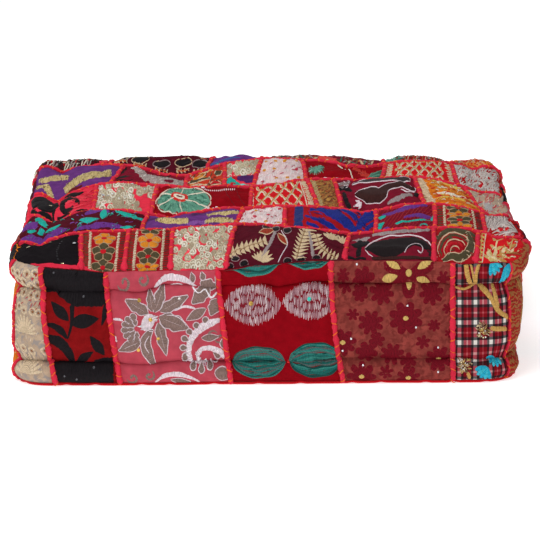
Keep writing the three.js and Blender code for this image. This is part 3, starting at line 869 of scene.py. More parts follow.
left_side, right_side = edge_run(left_edge, 1, 0), edge_run(right_edge, 1, 0)
front_side, back_side = edge_run(front_edge, 0, 1), edge_run(back_edge, 0, 1)
cord_paint = thread_paint("coral_cord", roughness=0.8, line=6.0, depth=0.35)
sewn = Sewing()
tapes = Sewing()
for row in range(4):
    first = row_seam(row, -290)
    x = np.linspace(left_side(first) + 1.5, right_side(row_seam(row, 290)) - 1.5, 100)
    line = np.stack([x, row_seam(row, x)], axis=-1)
    tape_on(tapes, top_spot, line, row, 5.0)
    cord_on(sewn, top_spot, line, row)
row_cords = sewn.piece("top_row_cords", cord_paint, MERGE)
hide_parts(*ROW_CORDS)
sewn = Sewing()
for row, seams in enumerate(cross_at):
    for number, bend in enumerate(seams):
        x = np.polyval(bend, 0)
        low = -293 if row == 0 else row_seam(row - 1, x) + 1
        high = 281 if row == 4 else row_seam(row, x) - 1
        y = np.linspace(low, high, 12)
        line = np.stack([np.polyval(bend, y), y], axis=-1)
        tape_on(tapes, top_spot, line, 10 * row + number + 50, TAPE_HALF)
        cord_on(sewn, top_spot, line, 10 * row + number + 50, row == 0, 2 * STITCH_EVERY - 1, 2.7)
cross_cords = sewn.piece("top_cross_cords", cord_paint, MERGE)
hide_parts(*[f"top_cross_cord_{i}" for row in CROSS_CORDS for i in row])
sewn = Sewing()
for number, bend in enumerate(seam_at):
    z = np.linspace(2.5, rim(np.polyval(bend, 140)) - 0.5, 14)
    line = np.stack([np.polyval(bend, z), z], axis=-1)
    if number == THIN_SEAM:
        cord_on(sewn, band_spot, line, 200 + number, half=1.2)
    else:
        tape_on(tapes, band_spot, line, 200 + number, TAPE_HALF)
        cord_on(sewn, band_spot, line, 200 + number)
band_cords = sewn.piece("band_cords", cord_paint, MERGE)
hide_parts(*[f"band_cord_{side}_{i + 1}" for side, count in BAND_CORDS.items()
                          for i in range(count)])
seam_tape = tapes.piece("seam_tape", thread_paint("coral_tape", roughness=0.9, line=3.0, depth=0.4))

# Foot lip: the red cotton binding that closes the bottom seam shows as a thin roll along the floor. The
# hand stitches that hold it pull it up and in, into uneven scallops.
LIP_HALF = 1.7
LIP_RED = (0.60, 0.005, 0.012)
sewn = Sewing()
draw = random.Random(8)
run = np.arange(0, ROUND, 2.5)
pull = np.zeros(len(run))
at = 0
while at < ROUND - 20:
    at += draw.uniform(30, 62)
    pull = np.maximum(pull, np.exp(-(from_middle(run - at) / 4.5) ** 2))
lip_spot = band_spot(run, 3.2 + 0.8 * pull)
lip_way = outline(run)[1]
lip_spot[:, :2] += lip_way * (1.9 - 1.7 * pull + 0.5 * np.sin(run / 13))[:, None]
lip_spot[:, 2] = 1.8 + 0.9 * pull
turn = np.linspace(0, math.tau, 8)
ring = np.stack([np.cos(turn), np.sin(turn)], axis=-1) * LIP_HALF
upward = np.broadcast_to(ring[None, :, 1:], (len(run), len(turn), 1))
tube = lip_spot[:, None] + np.concatenate([lip_way[:, None] * ring[None, :, :1], upward], axis=2)
tube[:, -1] = tube[:, 0]
sewn.add(np.concatenate([tube, tube[:1]]), LIP_RED)
binding_paint = thread_paint("red_binding", roughness=0.8, sheen=0.15, line=0.5, depth=0.3)
lip = sewn.piece("foot_lip", binding_paint, MERGE)
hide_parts("bottom_lip")

# Dyed cloth: old cottons, velvets and silks, each with its weave and a little uneven in colour. The colour
# is painted darker in the hollows of the weave and lighter on its ridges, as painted shade and light.
fabrics = {}


def dye(red, green, blue):
    """A colour as it is read off a screen, as light."""
    levels = [channel / 255 for channel in (red, green, blue)]
    return tuple(c / 12.92 if c < 0.04 else ((c + 0.055) / 1.055) ** 2.4 for c in levels)


def weave(tree, lies, thread):
    """Height of a warp and weft of that spacing in millimetres."""
    ways = [add_node(tree, "TexWave", bands_direction=bands, Vector=lies, Scale=3.14 / thread, Distortion=0.8,
                     Detail=1.0).outputs["Fac"] for bands in "XY"]
    return product(tree, *ways)


def mix_colours(tree, share, first, second, blend="MIX"):
    first, second = [(*colour, 1) if isinstance(colour, tuple) else colour for colour in (first, second)]
    mixed = add_node(tree, "Mix", data_type="RGBA", blend_type=blend, Factor=share, A=first, B=second)
    return mixed.outputs["Result"]


def blots(tree, lies, scale, low, high, detail=3.0, distortion=0.0):
    noise = add_node(tree, "TexNoise", Vector=lies, Scale=scale, Detail=detail, Distortion=distortion)
    return stretched(tree, noise.outputs["Fac"], low, high)


def cloth_paint(name, ground, thread=1.1, roughness=0.9, worn=0.22, second=None):
    """Plain woven cloth; a second colour shows through it in soft blots."""
    fabrics[name], tree, shader, lies = new_paint(name, roughness, 0.0)
    dark = tuple(c * (1 - worn) for c in ground)
    light = tuple(min(1, c * (1 + worn * 0.6)) for c in ground)
    colour = mix_colours(tree, blots(tree, lies, 0.9, 0.3, 0.7), dark, light)
    if second:
        colour = mix_colours(tree, blots(tree, lies, 1.6, 0.48, 0.60, 5.0, 0.6), colour, second)
    height = weave(tree, lies, thread)
    # painted shade: the weave's height darkens the colour in its hollows and lightens it on its ridges
    finish_paint(tree, shader, colour, height, stretched(tree, height, 0, 1, 0.82, 1.15))


def brocade_paint(name, ground, gold, dark, scale):
    """Woven brocade: curling figures in two thread colours over a ground."""
    fabrics[name], tree, shader, lies = new_paint(name, 0.75, 0.0)
    figures = add_node(tree, "TexWave", wave_type="RINGS", Vector=lies, Scale=scale * 0.35, Distortion=9.0,
                       Detail=3.0, Detail_Scale=scale * 1.4).outputs["Fac"]
    colour = mix_colours(tree, blots(tree, lies, 2.6 * scale, 0.5, 0.6, 4.0), ground, dark)
    colour = mix_colours(tree, stretched(tree, figures, 0.5, 0.68), colour, gold)
    finish_paint(tree, shader, colour, weave(tree, lies, 1.3))


def plaid_paint(name, stripes, repeats):
    """Checked cotton: the same stripes run both ways, and where they cross the two colours mix."""
    fabrics[name], tree, shader, lies = new_paint(name, 0.9, 0.0)
    parts = add_node(tree, "SeparateXYZ", Vector=lies)
    ways = []
    for axis, repeat in zip("XY", repeats):
        repeats_run = product(tree, parts.outputs[axis], 10 / repeat)
        turn = add_node(tree, "Math", operation="FRACT", Value=repeats_run)
        ramp = add_node(tree, "ValToRGB", Fac=turn.outputs["Value"])
        ramp.color_ramp.interpolation = "CONSTANT"
        while len(ramp.color_ramp.elements) < len(stripes):
            ramp.color_ramp.elements.new(0.5)
        for element, (start, colour) in zip(ramp.color_ramp.elements, stripes):
            element.position = start
            element.color = (*np.sqrt(colour), 1)
        ways.append(ramp.outputs["Color"])
    finish_paint(tree, shader, mix_colours(tree, 1.0, *ways, "MULTIPLY"), weave(tree, lies, 1.0))


# Embroidery: raised satin stitch, couched cord, chain-stitch outlines, beads and sequins, worked on each
# patch before it was cut from its old cloth, so the figures run under the seams.
EDGE_GAP = 0.8
PLOT_COLUMNS = 25
PLOT_ROWS = 41
LEAST_SEEN = 0.14


class Plot:
    """One patch, with the places on it and the threads that are worked there.

    A patch of the top is drawn as it is seen from the front, from its near seam to its far one.
    """

    def __init__(self, spot, left, right, low, high, lying=False):
        self.spot = spot
        self.sides = (left, right, low, high)
        self.threads = Sewing()
        self.work = []
        self.over = None
        self.flat = None
        self.lying = lying
        self.tall = 1.0
        middle = (left(0) + right(0)) / 2
        reach = np.linspace(low(middle), high(middle), PLOT_ROWS)
        self.across = np.linspace(left(reach).min(), right(reach).max(), PLOT_COLUMNS)
        share = np.linspace(0, 1, PLOT_ROWS)
        self.real = low(self.across)[:, None] + (high(self.across) - low(self.across))[:, None] * share
        self.level = self.real
        if lying:
            columns = np.broadcast_to(self.across[:, None], self.real.shape)
            spots = spot(columns, self.real) * MM - camera.location
            level = (spots @ np.array(camera_up)) / (spots @ np.array(view_way)) * VIEW_DISTANCE / MM
            steps = np.maximum(np.diff(level, axis=1), LEAST_SEEN * np.diff(self.real, axis=1))
            for _ in range(4):
                wide = np.pad(steps, 1, mode="edge")
                sides = wide[:-2, 1:-1] + wide[2:, 1:-1] + wide[1:-1, :-2] + wide[1:-1, 2:]
                steps = (sides + 2 * steps) / 6
            self.level = level[:, :1] + np.concatenate([0 * level[:, :1], np.cumsum(steps, axis=1)], axis=1)
        y = float(low(middle) + high(middle)) / 2
        self.width = float(right(y) - left(y))
        ends = [np.interp(middle, self.across, self.level[:, end]) for end in (0, -1)]
        self.length = float(ends[1] - ends[0])
        if lying:
            self.tall = float(high(middle) - low(middle)) / self.length

    def true(self, a, b):
        """Where drawn places lie on the cloth, along the patch."""
        place = np.interp(a, self.across, np.arange(PLOT_COLUMNS))
        found = np.zeros(len(place))
        for column in range(PLOT_COLUMNS):
            share = np.clip(1 - np.abs(place - column), 0, None)
            near = share > 0
            if near.any():
                found[near] += share[near] * np.interp(b[near], self.level[column], self.real[column])
        return found

    def at(self, u, v):
        """The place at those shares of the patch's width and length."""
        left, right, low, high = self.sides
        a = (left(0) + right(0)) / 2
        for _ in range(2):
            ends = [np.interp(a, self.across, self.level[:, end]) for end in (0, -1)]
            b = ends[0] + (ends[1] - ends[0]) * v
            y = self.true(np.array([a]), np.array([b]))[0] if self.lying else b
            a = float(left(y) + (right(y) - left(y)) * u)
        return a, float(b)

    def put(self, a, b):
        """A place of the design: millimetres on a patch of the band, shares on a patch of the top."""
        return self.at(a, b) if self.over is None else (a + self.over, b)

    def sew(self, net, heights, colour, laid=None, to=None):
        if self.flat is not None:
            level, share = self.flat
            net = np.stack([net[..., 0], level + (net[..., 1] - level) * share], axis=-1)
        self.work.append((net, np.broadcast_to(heights, net.shape[:2]), colour, laid, to or self.threads))

    def finish(self):
        """Lays all the nets on the cloth; what would run past a seam ends there."""
        left, right, low, high = self.sides
        flat = np.concatenate([net.reshape(-1, 2) for net, *_ in self.work])
        heights = np.concatenate([heights.ravel() for _, heights, *_ in self.work])
        b = self.true(flat[:, 0], flat[:, 1]) if self.lying else flat[:, 1]
        b = np.clip(b, low(flat[:, 0]) + EDGE_GAP, high(flat[:, 0]) - EDGE_GAP)
        a = np.clip(flat[:, 0], left(b) + EDGE_GAP, right(b) - EDGE_GAP)
        spots = lifted(self.spot, a, b, PATCH_LIFT + heights)
        start = 0
        for net, heights, colour, laid, to in self.work:
            end = start + heights.size
            to.add(spots[start:end].reshape(*heights.shape, 3), colour, laid)
            start = end


def curve(points, count):
    """A smooth line of that many places through the given ones."""
    points = np.asarray(points, float)
    if len(points) == 2:
        return points[0] + (points[1] - points[0]) * np.linspace(0, 1, count)[:, None]
    run = run_along(points)
    slope = np.gradient(points, run, axis=0)
    at = np.linspace(0, run[-1], count)
    k = np.clip(np.searchsorted(run, at, side="right") - 1, 0, len(points) - 2)
    h = (run[k + 1] - run[k])[:, None]
    t = ((at - run[k]) / h[:, 0])[:, None]
    return ((2 * t**3 - 3 * t**2 + 1) * points[k] + (t**3 - 2 * t**2 + t) * h * slope[k]
            + (3 * t**2 - 2 * t**3) * points[k + 1] + (t**3 - t**2) * h * slope[k + 1])


def length_of(points):
    return np.linalg.norm(np.diff(np.asarray(points, float), axis=0), axis=1).sum()


def flanks(line, widths):
    """The way to the right of a line, and half its width, at each place of it."""
    way = unit(np.gradient(line, axis=0), 1e-9)
    right = np.stack([way[:, 1], -way[:, 0]], axis=-1)
    half = np.interp(np.linspace(0, 1, len(line)), np.linspace(0, 1, len(widths)), widths) / 2
    return right, half


def satin(plot, points, widths, colour, high=0.8, count=None, across=4, rough=0.0, edge=None, rim=0.9):
    """A raised stitch along a line, of that width or those widths from start to end, and a cord round it."""
    points = np.asarray(points, float)
    stretch = np.array((1, min(plot.tall, 3.5)))
    length = length_of(points * stretch)
    widths = np.atleast_1d(np.asarray(widths, float))
    level = np.abs(points[-1] - points[0]).argmax() == 0
    across = max(across, int(widths.max() * (stretch[1] if level else 1) / 2.6) + 2)
    count = max(count or 4, int(np.clip(length / 2.8, 4, 90)))
    line = curve(points, count)
    right, half = flanks(line, widths)
    if edge is not None:
        around = np.concatenate([line + right * half[:, None], (line - right * half[:, None])[::-1]])
        satin(plot, around, rim, edge, high, 2 * count, 3)
    if rough:
        draw = random.Random(int(abs(points[0, 0] * 7 + points[0, 1] * 13)))
        half = half * np.array([1 + rough * draw.uniform(-1, 1) for _ in half])
    side = np.linspace(-1, 1, across)
    net = line[:, None] + right[:, None] * (side[None, :, None] * half[:, None, None])
    power = 2 if widths.max() < 7 else 4 if widths.max() < 16 else 10
    fall = np.minimum(high, 0.4 + half * 1.1)
    dome = high - 0.25 - fall[:, None] * (np.abs(side) ** power)[None, :]
    dome[[0, -1]] = np.minimum(dome[[0, -1]], -0.1)
    run = np.linspace(0, length, count)
    laid = np.stack(np.broadcast_arrays(side[None, :] * half[:, None], run[:, None]), axis=-1)
    plot.sew(net, dome, colour, laid)


def stitch(plot, x, y, way, length, width, colour, high=1.6):
    """One short straight stitch."""
    satin(plot, turned(x, y, way, [(-length / 2, 0), (length / 2, 0)]), width, colour, high, 4, 3)


def lay(plot, colour, widths, *places, high=1.1, rough=0.1, edge=None, rim=1.0):
    """A band of satin stitch through places of the design."""
    satin(plot, [plot.put(*place) for place in places], widths, colour, high, rough=rough, edge=edge, rim=rim)


def turned(x, y, way, places):
    """Flat places drawn along +x, turned to that way in degrees and put at x, y."""
    c, s = math.cos(math.radians(way)), math.sin(math.radians(way))
    a, b = np.asarray(places, float).T
    return np.stack([x + a * c - b * s, y + a * s + b * c], axis=-1)


PETAL = (0.06, 0.55, 0.85, 1.0, 0.95, 0.7, 0.08)
LEAF = (0.05, 0.6, 0.95, 1.0, 0.8, 0.45, 0.03)
DROP = (0.05, 0.3, 0.6, 0.9, 1.0, 0.85, 0.2)
BLUNT = (0.3, 0.6, 0.85, 1.0, 1.0, 0.85, 0.35)
LOBED = (0.10, 0.42, 0.80, 0.98, 0.84, 0.78, 0.98, 0.92, 0.62, 0.50, 0.30, 0.05)
WEDGE = (0.9, 1.0, 0.85, 0.65, 0.4, 0.2, 0.03)


def petal(plot, x, y, way, length, width, colour, edge=None, form=PETAL, high=0.9, vein=None, rim=0.9):
    """One petal or leaf from its foot, with an outline and a vein if it has them."""
    line = turned(x, y, way, [(0, 0), (length, 0)])
    satin(plot, line, np.array(form) * width, colour, high, max(8, len(form) + 2), edge=edge, rim=rim)
    if vein is not None:
        satin(plot, turned(x, y, way, [(length * 0.1, 0), (length * 0.85, 0)]), rim, vein, 1.4, 5, 3)


def leaves(plot, colour, *rows, edge=None, form=LEAF, high=1.1, vein=None, rim=0.9):
    """Leaves at places of the design, each with its way, length and width."""
    for a, b, way, length, width in rows:
        petal(plot, *plot.put(a, b), way, length, width, colour, edge, form, high, vein, rim)


def oval(plot, x, y, length, width, colour, way=0.0, high=0.9, rough=0.0, rows=9):
    t = np.linspace(-0.5, 0.5, rows)
    line = turned(x, y, way, np.stack([t * length, 0 * t], axis=-1))
    satin(plot, line, width * np.sqrt(np.clip(1 - (2 * t) ** 2, 0.002, 1)), colour, high, rows, 5, rough)


def ring(plot, x, y, length, width, thick, colour, way=0.0, high=0.8):
    t = np.linspace(0, math.tau, 14)
    around = turned(x, y, way, np.stack([np.cos(t) * length / 2, np.sin(t) * width / 2], axis=-1))
    satin(plot, around, thick, colour, high, 15, 3)


def flower(plot, x, y, reach, petals, wide, colour, edge=None, eye=None, eye_size=0.3, turn=0.0, form=PETAL,
           high=0.9):
    for number in range(petals):
        way = turn + 360 * number / petals
        foot = reach * eye_size * 0.45
        px = x + foot * math.cos(math.radians(way))
        py = y + foot * math.sin(math.radians(way))
        petal(plot, px, py, way, reach - foot, wide, colour, edge, form, high)
    if eye is not None:
        oval(plot, x, y, reach * eye_size * 2, reach * eye_size * 2, eye, high=1.7)


def curl(plot, x, y, size, way, side, width, colour, turns=1.3, high=0.9):
    """A scroll that winds in on itself."""
    t = np.linspace(0, 1, 22)
    angle = side * turns * math.tau * t
    reach = size * (1 - 0.86 * t)
    line = turned(x, y, way, np.stack([reach * np.cos(angle), reach * np.sin(angle)], axis=-1))
    satin(plot, line, np.array((0.3, 1, 1, 1, 1.2)) * width, colour, high, 22, 4)


def paisley(plot, x, y, size, way, side, colour, edge=None, wide=0.55, rim=1.0):
    """A mango shape with its tip curled over."""
    axis = np.array([(0, 0), (0.35, 0.0), (0.7, 0.08), (0.98, 0.26), (1.06, 0.5), (0.9, 0.6), (0.8, 0.5)])
    form = np.array((0.1, 0.85, 1.0, 0.9, 0.62, 0.38, 0.22, 0.05))
    line = turned(x, y, way, axis * (size, size * side))
    satin(plot, line, form * size * wide, colour, 0.9, 20, 5, edge=edge, rim=rim)


def ladder(plot, start, end, width, rail, rung, step):
    """A border of two rails with bars between them."""
    start, end = np.asarray(start, float), np.asarray(end, float)
    length = np.linalg.norm(end - start)
    way = (end - start) / length
    right = np.array((way[1], -way[0]))
    for side in (-1, 1):
        off = right * side * width / 2
        satin(plot, [start + off, end + off], 1.5, rail, 0.8, across=3, rough=0.25)
    for at in np.arange(step / 2, length, step):
        middle = start + way * at
        satin(plot, [middle - right * width / 2, middle + right * width / 2], 2.2, rung, 0.7, 4, 3)


def fern(plot, places, leaf_long, leaf_wide, colour, spine, step=7.0, lean=55, spine_width=2.4, form=LEAF,
         sides=(1, 1), taper=0.45):
    """A stem with leaves in pairs, through places of the design."""
    points = [plot.put(*place) for place in places]
    line = curve(points, max(4, int(length_of(points) / step)))
    way = np.degrees(np.arctan2(*np.gradient(line, axis=0).T[::-1]))
    for index, ((x, y), ahead) in enumerate(zip(line, way)):
        size = 1 - taper * index / len(line)
        for side, share in zip((-1, 1), sides):
            petal(plot, x, y, ahead + side * lean, leaf_long * size * share, leaf_wide * size, colour,
                  form=form)
    satin(plot, line, spine_width, spine, 1.2, across=3)


ALL_OVER = (0.04, 0.96, 0.04, 0.96)


def strokes(plot, count, length, width, colours, way, spread, seed, area=ALL_OVER, high=0.6, bow=0.0):
    """Loose stitches strewn over part of the patch."""
    draw = random.Random(seed)
    for _ in range(count):
        x, y = plot.at(draw.uniform(*area[:2]), draw.uniform(*area[2:]))
        long = length * draw.uniform(0.6, 1.3)
        bend = draw.uniform(-bow, bow) * long
        line = turned(x, y, way + draw.uniform(-spread, spread), [(-long / 2, 0), (0, bend), (long / 2, 0)])
        satin(plot, line, (width * 0.4, width, width * 0.4), draw.choice(colours), high, 5, 3)


def along_it(plot, colours, places, width, length, thick, lean, spread, seed, gap, high=1.6):
    """Short stitches side by side over a band that runs through places of the design."""
    draw = random.Random(seed)
    points = [plot.put(*place) for place in places]
    line = curve(points, max(4, int(length_of(points) / gap)))
    way = np.degrees(np.arctan2(*np.gradient(line, axis=0).T[::-1]))
    for (x, y), ahead in zip(line, way):
        for _ in range(max(1, round(width / length))):
            off = draw.uniform(-0.5, 0.5) * max(0.0, width - length * 0.6)
            at = turned(x, y, ahead, [(0, off)])[0]
            long = length * draw.uniform(0.7, 1.25)
            stitch(plot, *at, ahead + lean + draw.uniform(-spread, spread), long, thick, draw.choice(colours),
                   high)


def lattice(plot, u0, u1, v0, v1, across, up, width, colour, high=1.0):
    """Slanting lines that cross."""
    for number in range(-up, across + 1):
        for lean in (1, -1):
            places = []
            for t in np.linspace(0, 1, 9):
                u = (number + t * up) / across
                u = u if lean > 0 else 1 - u
                if 0 <= u <= 1:
                    places.append(plot.at(u0 + (u1 - u0) * u, v0 + (v1 - v0) * t))
            if len(places) > 1:
                satin(plot, places, width, colour, high + (0.3 if lean > 0 else 0), across=3, rough=0.3)


BRIGHT = {"gold": (0.62, 0.38, 0.08), "pale_gold": (0.72, 0.62, 0.36), "clear": (0.80, 0.84, 0.86),
          "dark": (0.10, 0.10, 0.11), "turquoise": (0.03, 0.55, 0.45), "red": (0.60, 0.01, 0.01),
          "silver": (0.72, 0.70, 0.66)}
shiny = Sewing()


def bead(plot, x, y, size, tone):
    t = np.linspace(0.02, 1, 5)
    turn = np.linspace(0, -math.tau, 9)
    net = np.array((x, y)) + (np.sin(t * math.pi / 2)[:, None, None] * size / 2
                              * np.stack([np.cos(turn), np.sin(turn) / plot.tall], axis=-1)[None])
    plot.sew(net, (np.cos(t * math.pi / 2) * size * 0.55)[:, None], BRIGHT[tone], to=shiny)


def sequin(plot, x, y, size, tone):
    t = np.array((0.22, 0.6, 1.0))
    turn = np.linspace(0, -math.tau, 10)
    circle = np.stack([np.cos(turn), np.sin(turn) / plot.tall], axis=-1)
    net = np.array((x, y)) + t[:, None, None] * size / 2 * circle[None]
    plot.sew(net, 0.9 + 0.35 * t[:, None], BRIGHT[tone], to=shiny)


def coils(plot, seed, count, colours, size, area=ALL_OVER, width=1.7, shade_under=None):
    """Close little scrolls of metal thread, with clear beads among them; the oval under each, if given, has
    the greyer colour of the coils' shaded turns, partly the metal thread and partly painted shade.
    """
    draw = random.Random(seed)
    places = []
    tries = 0
    while len(places) < count and tries < count * 30:
        tries += 1
        x, y = plot.at(draw.uniform(*area[:2]), draw.uniform(*area[2:]))
        if all(math.hypot(x - a, y - b) > size for a, b in places):
            places.append((x, y))
    for x, y in places:
        way, reach = draw.uniform(0, 360), size * draw.uniform(0.62, 0.84)
        if shade_under is not None:
            oval(plot, x, y, reach * 2.3, reach * 1.9, shade_under, way, 0.6, 0.1)
        curl(plot, x, y, reach, way, draw.choice((-1, 1)), width, draw.choice(colours), turns=1.6, high=1.4)
        if draw.random() < 0.3:
            bead(plot, x, y, 2.6, draw.choice(("clear", "silver")))


# Floss and plots: the silk and cotton threads whose colours come back all over the pouf, and the place of
# each patch, between its own seams, where its figures are drawn.
CREAM = dye(214, 190, 158)
RAIL = dye(184, 154, 120)
IVORY = dye(225, 215, 195)
PALE = dye(226, 210, 216)
WHITE = dye(244, 238, 242)
TAUPE = dye(134, 110, 103)
BLACK = dye(26, 22, 25)
TEAL = dye(42, 120, 112)
GOLD = dye(205, 172, 100)
OLIVE = dye(78, 70, 48)
MARIGOLD = dye(218, 134, 34)
GREY = dye(152, 138, 138)
PURPLE = dye(104, 50, 134)
AQUA = dye(30, 172, 158)
RED = dye(190, 20, 34)
WINE = dye(112, 12, 28)
CORAL_CLOTH = dye(228, 52, 74)
UP = 1.8


def band_plot(number):
    left = seam_at[number - 1]
    right = seam_at[number % len(seam_at)] + np.array((0, 0, ROUND if number == len(seam_at) else 0))
    plot = Plot(lambda s, z: band_spot(s, z + UP), lambda z: np.polyval(left, z + UP),
                lambda z: np.polyval(right, z + UP), lambda s: 0.4 + 0 * s, lambda s: rim(s) - 0.5 - UP)
    plot.over = 0
    return plot


def top_plot(row, column):
    bends = cross_at[row - 1]

    def left(y):
        return left_side(y) + 1.5 if column == 1 else np.polyval(bends[column - 2], y)

    def right(y):
        return right_side(y) - 1.5 if column > len(bends) else np.polyval(bends[column - 1], y)

    def low(x):
        return front_side(x) + 1.0 if row == 1 else row_seam(row - 2, x)

    def high(x):
        return back_side(x) - 1.0 if row == 5 else row_seam(row - 1, x)

    return Plot(top_spot, left, right, low, high, True)


# Old pieces: kinds of embroidery that were cut from one garment, or are met on more than one patch: velvet,
# a large flower, ovals of silk, flock flowers, flower ladders and gold swathes.
def velvet_leaves(p):
    """Black velvet leaves on a vine, solid black along the rolls."""
    lay(p, BLACK, (43, 42, 44, 48, 57, 58, 58, 55), (-265, 130.5), (-253, 131), (-243, 130), (-235, 128),
        (-229, 123.5), (-215, 123), (-200, 123), (-186, 125), high=0.9, rough=0.03)
    lay(p, BLACK, 13, (-262, 116), (-232, 117), (-186, 116), high=1.5)
    lay(p, BLACK, (22, 27, 28, 27), (-258, 14), (-240, 15), (-212, 15), (-182, 15), high=0.9, rough=0.05)
    lay(p, BLACK, (7, 5, 2), (-229.5, 99), (-230.5, 75.5), (-235.5, 56.5), high=0.9)
    lay(p, BLACK, (2, 9, 10, 3), (-264, 74.5), (-253, 73.5), (-243, 67), (-236, 57.5), high=0.9)
    lay(p, BLACK, (8, 9, 6, 1.5), (-189, 98.7), (-191.5, 86), (-195.5, 72.5), high=0.9)
    lay(p, BLACK, (10, 15, 13, 6), (-261, 58.5), (-247, 54), (-236, 43), (-229, 30), high=0.9)
    lay(p, BLACK, (3, 9, 12), (-206, 33), (-195, 32), (-182, 31), high=0.9)
    leaves(p, BLACK, (-233.5, 79, 133, 31, 15), (-233, 76.5, 8, 35, 19), (-192.7, 37.5, 125, 29, 14),
           (-228, 30, 28, 26, 10), (-248, 30, 150, 14, 6), high=0.9)
    for x, z in ((-250, 136), (-206, 140), (-216, 106), (-190, 132), (-240, 12), (-206, 20), (-226, 8)):
        sequin(p, *p.put(x, z), 2.4, "dark")


def pink_bloom(p):
    """A large taupe flower with white outlines, a white scroll beside it, and curls along both rolls."""
    leaves(p, TAUPE, (-127.1, 89.3, 28, 38, 15), (-140.4, 87.1, 150, 31, 15), (-135.9, 89.3, 96, 24, 11),
           (-133.2, 88.2, 70, 33, 13.5), edge=PALE, form=LOBED, high=1.2, vein=PALE, rim=1.3)
    leaves(p, TAUPE, (-128.1, 82.9, -22, 37.6, 21), (-129.1, 76.6, -77, 40.5, 13.7), edge=PALE, form=LOBED,
           high=1.2, rim=1.4, vein=PALE)
    lay(p, PALE, (0.8, 1.4, 0.8), (-121, 85), (-112, 85), (-100, 78), (-95, 70), high=1.7)
    for x, z, way in ((-66, 60, 20), (-57, 57, 200)):
        curl(p, *p.put(x, z), 6.5, way, 1, 3.0, TAUPE, 1.0)
    lay(p, TAUPE, (4, 12, 13, 3), (-136.3, 69.2), (-144.1, 54.5), (-141.4, 39.7), (-133.8, 27.5), edge=PALE,
        rim=1.3)
    lay(p, PALE, (1.4, 2, 1), (-139, 62), (-145, 50), (-139, 38), high=1.7)
    leaves(p, TAUPE, (-148.6, 54.5, 204, 30, 14.5), edge=PALE, vein=PALE, rim=1.3)
    for count, foot, reach, wide in ((7, 7, 12, 8.5), (5, 3, 8.5, 6.5)):
        for number in range(count):
            way = 108 + number * 158 / (count - 1)
            a = -153.7 + foot * math.cos(math.radians(way))
            b = 69.2 + foot * math.sin(math.radians(way))
            leaves(p, TAUPE, (a, b, way, reach, wide), edge=PALE, form=DROP, rim=1.2)
    a, b = p.put(-141, 76.5)
    oval(p, a, b, 15, 23, PALE, -25, 1.5, 0.12)
    draw = random.Random(31)
    for _ in range(26):
        at = turned(a, b, -25, [(draw.uniform(-7, 7), draw.uniform(-10, 10))])[0]
        stitch(p, *at, draw.uniform(-10, 40), 6, 1.1, draw.choice((WHITE, PALE)), 2.4)
    lay(p, PALE, (2, 3, 3.5, 2), (-110, 90), (-99.4, 94.9), (-85, 92.8), high=1.4)
    leaves(p, TAUPE, (-72.7, 92.4, 210, 27, 12), edge=PALE, rim=1.1)
    leaves(p, TAUPE, (-68.6, 116.7, 222, 28, 17), (-58.4, 114.6, 150, 24, 17), (-59.4, 103, -113, 21, 15),
           edge=PALE, form=LOBED, rim=1.2)
    lay(p, WHITE, (2, 2.4, 2), (-89.1, 115.6), (-80.9, 109.3), (-74.8, 112.5), (-66.6, 104), (-59.4, 109.3),
        high=1.9)
    scroll = ((-55.9, 78.7), (-66.6, 75.5), (-78.9, 69.2), (-89.1, 58.7), (-93.6, 46), (-92.2, 33.4),
              (-84, 24.9), (-73.8, 24.9), (-66.6, 30.8))
    branch = ((-49, 33.4), (-58.4, 40.7), (-70.7, 45), (-80.9, 41.8), (-83.4, 34.4), (-78.9, 29.1),
              (-73.8, 33.4))
    lay(p, PALE, (6, 9, 10, 9, 7, 7, 6, 5, 4), *scroll, high=1.6, rough=0.14)
    along_it(p, (WHITE, PALE, dye(206, 186, 196)), scroll, 7, 6, 1.1, 70, 14, 32, 1.7, 2.3)
    lay(p, PALE, (7, 8, 7.5, 6.5, 5, 4, 3), *branch, high=1.6, rough=0.14)
    along_it(p, (WHITE, PALE, dye(206, 186, 196)), branch, 6, 5, 1.1, 70, 14, 33, 1.7, 2.3)
    leaves(p, TAUPE, (-78.9, 56.6, 5, 21, 9), edge=PALE)
    for x, z in ((-73.8, 77.2), (-84, 70.9), (-91.6, 63.9), (-96.9, 56.1), (-98.4, 46), (-96.3, 37),
                 (-88.1, 21.8), (-78.9, 19), (-69.7, 21.8), (-64.1, 27.5), (-61.5, 37.6)):
        way = math.degrees(math.atan2(z - 46, x + 76.8))
        leaves(p, TAUPE, (x - 4.5 * math.cos(math.radians(way)), z - 4.5 * math.sin(math.radians(way)), way,
                          10, 7.6), edge=PALE, form=DROP, rim=1.2, high=1.3)
    leaves(p, TAUPE, (-48.2, 50.2, 180, 9, 12), (-44.1, 9.1, 165, 20, 15), edge=PALE, form=PETAL, rim=1.3)
    for x, z, size, way, side in ((-168, 125, 8, 190, 1), (-146.5, 127.5, 7, 60, -1),
                                  (-159.8, 8.5, 7, 190, 1), (-140.4, 11, 6.5, 60, -1)):
        curl(p, *p.put(x, z), size, way, side, 3.4, TAUPE, 1.1)
    for low in (0, -118.2):
        lay(p, PALE, (2, 6, 6.5, 5, 2), (-134, 120.9 + low), (-123, 129.3 + low), (-106, 131 + low),
            (-91, 126.5 + low), (-81, 120.9 + low), high=1.4, rough=0.15)
        leaves(p, TAUPE, (-116, 124.5 + low, -8, 25, 7), edge=PALE)
    leaves(p, TAUPE, (-90, 135, -70, 9, 7), (-78, 136, -70, 9, 7), (-62, 132, -60, 20, 12), edge=PALE,
           form=DROP)
    lay(p, PALE, (2, 4, 3), (-183, 80), (-176, 80.5), (-170, 79), high=1.3)
    lay(p, PALE, (2, 6, 2), (-183, 62), (-179, 57), (-181, 50), high=1.3)
    for x, z in ((-150.6, 101.9), (-136.3, 80.8), (-129.1, 57), (-152.7, 44.3)):
        sequin(p, *p.put(x, z), 4.0, "gold")
    sequin(p, *p.put(-104, 104), 3.2, "silver")
    bead(p, *p.put(-138, 80), 5.6, "gold")


